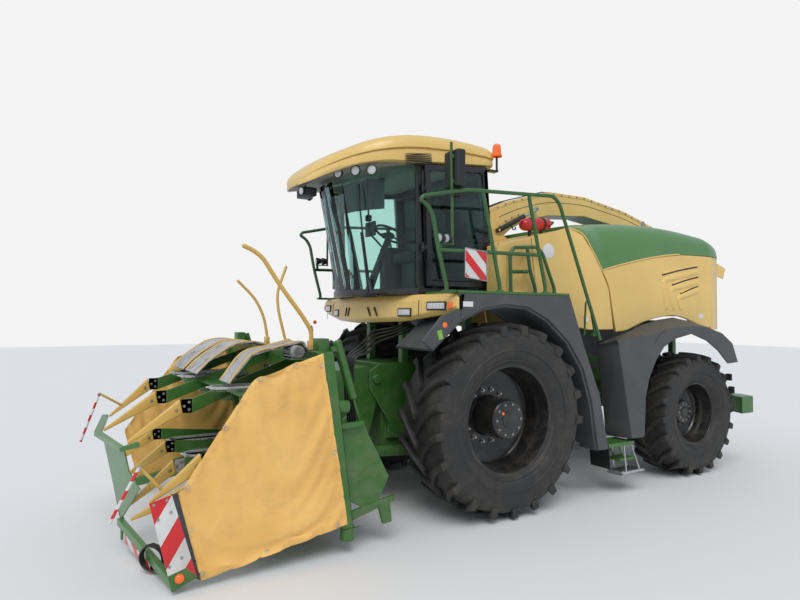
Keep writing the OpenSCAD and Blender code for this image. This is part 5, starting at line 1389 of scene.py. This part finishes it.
foot = [(0.038, 0), (0.038, 0.008), (0.034, 0.012), (0.022, 0.012), (0.022, 0.026), (0, 0.026)]
board = [(0.350, 2.350), (0.600, 2.380), (0.600, 2.650), (0.350, 2.620)]
rim = [(0.345, 2.345), (0.605, 2.376), (0.605, 2.655), (0.345, 2.625), (0.345, 2.345)]
rails = []
for side in both:
    for paths, y in ((outer_paths, 1.450), (inner_paths, 1.260)):
        rails += [bent(flat(path, side * y), 0.0195, 0.085, 4) for path in paths]
    rails += [bent([(x, side * y, z) for x, y, z in grip], 0.011, 0.05, 4),
              line([(0.714, side * 1.425, 2.676), (0.714, side * 1.405, 3.660)], 0.0135, 4),
              side_box(side, (0.70, 1.42, 2.225), (0.835, 1.48, 2.252), 0.005),
              side_box(side, (0.698, 1.415, 2.676), (0.88, 1.435, 2.690)),
              side_box(side, (0.84, 1.415, 2.630), (0.87, 1.435, 2.676))]
    rails += [knob(foot, (x, side * y, DECK))
              for x, y in ((0.160, 1.450), (-0.450, 1.450), (-0.150, 1.260), (-0.490, 1.260), (-0.770, 1.260))]
    rails += [side_box(side, (0.698, 1.389, z), (0.714, 1.435, z + 0.04)) for z in (3.260, 3.500)]
piece(rails, "rails", rail_green, angle=50, stands_for="handrail")
piece([plate(board, side * 1.4705, side * 1.4785, 0.002) for side in both], "rail_board", rail_stripes)
piece([bent(flat(rim, side * 1.480), 0.004, 0.015, 3) for side in both], "board_rim", aluminium, slot="sign")

# %% Guide tubes over the header
pipes = []
for path, y, radius in (
        ([(1.915, 1.700), (1.915, 1.790), (1.920, 1.876), (1.997, 1.995), (2.227, 2.287), (2.375, 2.510),
          (2.465, 2.575), (2.544, 2.605)], 0.900, 0.0195),
        ([(1.935, 1.700), (1.935, 1.750), (2.017, 2.063), (2.029, 2.240), (1.938, 2.492)], 0.300, 0.0138),
        ([(1.915, 1.700), (1.915, 1.760), (1.960, 2.004), (2.060, 2.196), (2.243, 2.371)], -0.300, 0.0148)):
    x, z = path[-1]
    pipes += [bent(flat(path, y), radius, 0.14, 5), box((1.900, y - 0.03, 1.70), (1.945, y + 0.03, 1.78), 0.006),
              primitive("uv_sphere", segments=20, ring_count=10, radius=radius, location=(x + AXLE, y, z))]
on_header(pipes, "guide_pipes", deep_yellow, angle=50, stands_for="guide_tubes")
print("rails and guides")

# %% [markdown]
# ## Hoses and the coiled cable
#
# Four hydraulic hoses come out under the bumper, swing outwards and go down to the coupling block on
# the header's frame. They bend where the header lifts, so the mesh blends between the two bodies. The
# lighting cable of the folded header hangs in a coil on the front guard.

# %% Hoses
hoses, sleeves = [], []
for i in range(4):
    near, far = 0.640 + 0.034 * i, 1.060 + 0.050 * i
    hoses.append(bent([
        (0.700, near, 1.960 - 0.02 * i), (0.860, near + 0.01, 1.890 - 0.02 * i),
        (1.190, near + 0.05, 1.850 - 0.035 * i),
        (1.330, near + 0.25, 1.800 - 0.03 * i), (1.495, far, 1.735 - 0.02 * i), (1.640, far, 1.640),
        (1.650, far, 1.300), (1.600, far, 0.950), (1.700, far, 0.820), (1.780, far, 0.800), (1.863, far, 0.800)],
        0.0118, 0.09, 4))
    sleeves.append(rod((1.790, far, 0.800), (1.866, far, 0.800), 0.018, 12, 0.003))
hoses = piece(hoses, "hose_bundle", hose_black, None, angle=60, stands_for="hoses")
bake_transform(hoses, "chassis", "header", (0.95 + AXLE, 0.75, 1.87), (1.45 + AXLE, 1.10, 1.75))
on_header(sleeves, "hose_ends", bare_steel, slot="hose_rubber")

# %% Coiled cable
turns, steps, coil_radius, cable_radius = 4, 48, 0.095, 0.008
stand = (move(3.268, 1.000, 0.128) @ Matrix.Rotation(math.radians(-40), 4, "Z")
         @ Matrix.Rotation(math.radians(90), 4, "X"))
coil_path = []
for k in range(turns * steps + 1):
    angle = 2 * math.pi * k / steps + math.pi / 2
    reach = coil_radius * (1 + 0.02 * math.sin(2.3 * angle))
    coil_path.append(stand @ Vector((reach * math.cos(angle), reach * math.sin(angle),
                                     -0.030 + 0.060 * k / (turns * steps))))
coil = on_header(tube(coil_path, cable_radius, 4, smooth=False), "cable_coil_cord", hose_black, angle=60,
                 stands_for="cable_coil")

# %% [markdown]
# ## Spout
#
# The spout is folded sheet: its top plate is bolted to the side walls through a flange, so bolt heads
# follow the whole upper edge, and a pressed line runs along each side, drawn as a thin dark line that is
# painted shade in the crease. Its belly is painted green.

# %% Spout shells
corners = [(-0.630, 3.180), (-0.790, 3.360), (-1.120, 3.490), (-1.760, 3.670), (-2.450, 3.670), (-3.280, 3.540),
           (-4.110, 3.310), (-5.190, 2.983)]
bellies = [(-1.030, 3.060), (-1.100, 3.120), (-1.380, 3.260), (-1.760, 3.350), (-2.450, 3.400), (-3.300, 3.290),
           (-4.150, 3.080), (-5.250, 2.773)]


def along(points, gap, start=0.06):
    """Spots every gap metres along a line of points (x, z)."""
    spots, left = [], start
    for a, b in zip(points, points[1:]):
        a, b = Vector(a), Vector(b)
        length = (b - a).length
        while left < length:
            spots.append(a + (b - a) * (left / length))
            left += gap
        left -= length
    return spots


def down_side(share, count=len(corners)):
    """Line on the side wall at a share of the way from the upper edge to the belly."""
    return [((1 - share) * a[0] + share * b[0], (1 - share) * a[1] + share * b[1])
            for a, b in zip(corners[:count], bellies[:count])]


on_spout = partial(piece, body="spout_arm")
flange, heads, pressed_line_shades = [], [], []
for side in both:
    flange.append(skin([[(x, side * y, z - drop) for y, drop in (
        (0.1652, 0.002), (0.1705, 0.004), (0.1705, 0.036), (0.1652, 0.038))] for x, z in corners]))
    for spots, y in ((along([(x, z - 0.020) for x, z in corners], 0.145), 0.1705),
                     (along(down_side(0.65, 3), 0.12), 0.1655)):
        heads += [at(x, side * y, z, (0, side, 0)) for x, z in spots]
    # The thin dark line on each side is painted shade in the pressed line.
    pressed_line_shades.append(bent(flat(down_side(0.42)[1:], side * 0.1655), 0.0035, 0.2, 3))
on_spout(flange, "spout_flange", yellow)
on_spout(bolts(heads, 0.0095, 0.009), "spout_bolts", bare_steel)
on_spout(pressed_line_shades, "spout_seam", black_plastic, slot="yellow_paint")
belly = skin([[(x, 0.160, z - 0.003), (x, -0.160, z - 0.003), (x, -0.160, z + 0.002), (x, 0.160, z + 0.002)]
              for x, z in bellies])
on_spout(belly, "spout_belly", green, slot="yellow_paint")
hook = [(-1.06, 0.168, 3.205), (-1.075, 0.20, 3.20), (-1.12, 0.20, 3.11), (-1.16, 0.20, 3.115), (-1.165, 0.20, 3.15)]
on_spout(bent(hook, 0.008, 0.02), "spout_hook", black_paint, slot="cast_grey")
on_spout([box((-3.72, -0.172, 3.40), (-3.66, 0.172, 3.435)), box((-3.72, 0.166, 3.27), (-3.66, 0.178, 3.43))],
         "spout_clamp", bare_steel)
on_spout([line([(x, y, z + 0.014) for x, z in corners[1:]], 0.0075, 3, smooth=False) for y in (0.05, -0.05)],
         "spout_pipes", black_plastic, slot="black_paint")
print("spout dressed,", len(heads), "bolts")

# %% [markdown]
# ## Small fittings
#
# What is left is what the eye picks up last: straps and valves of the extinguishers, the lamps and
# slots of the bumper, blank labels and reflectors, the hanging step, the mud flaps and the rear lamps.

# %% Extinguishers
bottle = [(0, -0.22), (0.035, -0.217), (0.060, -0.195), (0.070, -0.160), (0.070, 0.160), (0.058, 0.195),
          (0.030, 0.212), (0.020, 0.215), (0.018, 0.235), (0, 0.235)]
band = [(0.0705, -0.014), (0.0745, -0.014), (0.0745, 0.014), (0.0705, 0.014)]
lying = (-1, 0, 0.10)
straps = []
for side in both:
    y = side * 0.95
    for x in (-0.70, -0.88):
        straps += [knob(band, (x, y, 3.055 - (x + 0.79) * 0.1), lying, 40, ring=True),
                   side_box(side, (x - 0.014, 0.935, 2.905), (x + 0.014, 0.965, 2.985), 0.003)]
    straps += [rod((-1.01, y, 3.078), (-1.05, y, 3.082), 0.016, 16, 0.003),
               box((-1.07, y - 0.012, 3.085), (-1.00, y + 0.012, 3.11), 0.005)]
piece([knob(bottle, (-0.79, side * 0.95, 3.055), lying, 48) for side in both], "extinguisher_bottles", red_paint,
      angle=40, stands_for="extinguishers")
piece(straps, "extinguisher_straps", black_plastic, slot="red_paint")


# %% Bumper: lamps, slots and seam
def bumper_x(y):
    """Front face of the bumper at y, halfway up."""
    return 1.015 - 0.2 * abs(y)


def leaning(x, y, z, low, high, width=0.006):
    """Rounded box between two corners counted from a spot, turned as the bumper's face is."""
    turn = Matrix.Rotation(math.copysign(math.atan(0.2), y), 4, "Z")
    return settle(block(low, high, width, 3), move(x, y, z) @ turn)


dark, clear, orange = [], [], []
for side in both:
    for y, z, half in ((0.80, 2.045, 0.10), (1.24, 2.105, 0.13)):
        spot = (bumper_x(y), side * y, z)
        dark.append(leaning(*spot, (-0.006, -half, -0.0425), (0.014, half, 0.0425)))
        clear.append(leaning(*spot, (0.005, 0.015 - half, -0.030), (0.019, half - 0.015, 0.030)))
    orange.append(leaning(bumper_x(1.42) + 0.008, side * 1.42, 2.11, (-0.006, -0.03, -0.03), (0.008, 0.03, 0.03),
                          0.005))
    dark += [line([(bumper_x(y) + 0.004, side * y, 2.10), (bumper_x(y + 0.05) + 0.007, side * (y + 0.05), 2.01)],
                  0.011, 4) for y in (0.22, 0.33)]
    dark.append(line([(bumper_x(1) + 0.001, side, 2.165), (bumper_x(1) + 0.009, side, 2.01)], 0.003, 3))
piece(dark, "bumper_slots", black_plastic, slot="yellow_paint")
piece(clear, "bumper_lamps", clear_lens)
piece(orange, "bumper_markers", orange_lens)


# %% Labels and reflectors, all blank
def label(name, look, x, y, z, wide, high, body="chassis", tilt=0.0):
    tag = block((-wide / 2, -0.001, -high / 2), (wide / 2, 0.0015, high / 2), 0.0008, 1)
    piece(settle(tag, move(x, y, z) @ Matrix.Rotation(tilt, 4, "Y")), name, look, body)


reflector = [(0, 0.006), (0.022, 0.005), (0.026, 0.001), (0.026, 0), (0, 0)]
for side, word in sides:
    label(f"fender_label_{word}", white_plain, 0.588, side * 1.5012, 2.121, 0.118, 0.050)
    label(f"tip_label_{word}", label_green, 0.905, side * 1.5012, 1.835, 0.050, 0.085, tilt=0.25)
    label(f"strip_label_{word}", white_plain, -1.32, side * 1.2110, 1.98, 0.055, 0.075)
    label(f"flap_label_{word}", white_plain, -3.50, side * 1.2035, 2.02, 0.10, 0.060, f"flap_{word}")
    seam = line(flat([(0.670, 2.215), (0.670, 1.968)], side * 1.5006), 0.0028, 3)
    piece(seam, f"fender_seam_{word}", black_plastic, slot="grey_plastic")
    seam = bent(flat([(-2.126, 1.690), (-2.20, 1.775), (-2.331, 1.853)], side * 1.5006), 0.003, 0.05, 3)
    piece(seam, f"rear_seam_{word}", black_plastic, slot="grey_plastic")
    piece(knob(reflector, (0.852, side * 1.500, 1.925), (0, side, 0), 24), f"reflector_{word}", orange_lens)

# %% Steps and mud flaps
steps, flaps = [], []
for side in both:
    steps.append(side_box(side, (-1.99, 1.25, 0.235), (-1.62, 1.46, 0.262)))
    steps += [rod((-1.614, side * 1.25, z), (-1.614, side * 1.46, z), 0.010, 12) for z in (0.225, 0.262)]
    for x in (-1.96 + 0.052 * k for k in range(7)):
        steps.append(side_box(side, (x, 1.26, 0.262), (x + 0.012, 1.45, 0.268), 0.002, 1))
    for y in (side * 1.27, side * 1.44):
        steps += [rod((-1.70, y, 0.25), (-1.66, y, 0.57), 0.009, 12),
                  rod((-1.93, y, 0.25), (-1.78, y, 0.57), 0.009, 12)]
    low, high = sorted((side * 1.215, side * 1.49))
    flaps.append(skin([[(x, low, z), (x, high, z), (x - 0.008, high, z), (x - 0.008, low, z)]
                       for x, z in ((-1.345, 0.60), (-1.362, 0.45), (-1.375, 0.33))]))
piece(steps, "hanging_steps", aluminium, slot="green_paint")
piece(flaps, "mud_flaps", hose_black)

# %% Rear lamps
cup = [(0, 0.012), (0.030, 0.010), (0.036, 0.004), (0.036, 0), (0, 0)]
red, amber, frames = [], [], []
for side in both:
    for x, z, store in ((-3.79, 1.22, red), (-3.845, 1.05, amber)):
        store.append(knob(cup, (x - 0.012, side * 1.40, z), (-1, side * 0.1, 0), 28))
        frames.append(side_box(side, (x - 0.012, 1.36, z - 0.045), (x + 0.01, 1.44, z + 0.045), 0.006))
piece(red, "tail_lamps", red_lens)
piece(amber, "turn_lamps", orange_lens)
piece(frames, "tail_lamp_boxes", black_plastic, slot="lamp_glass")
print("small fittings done")
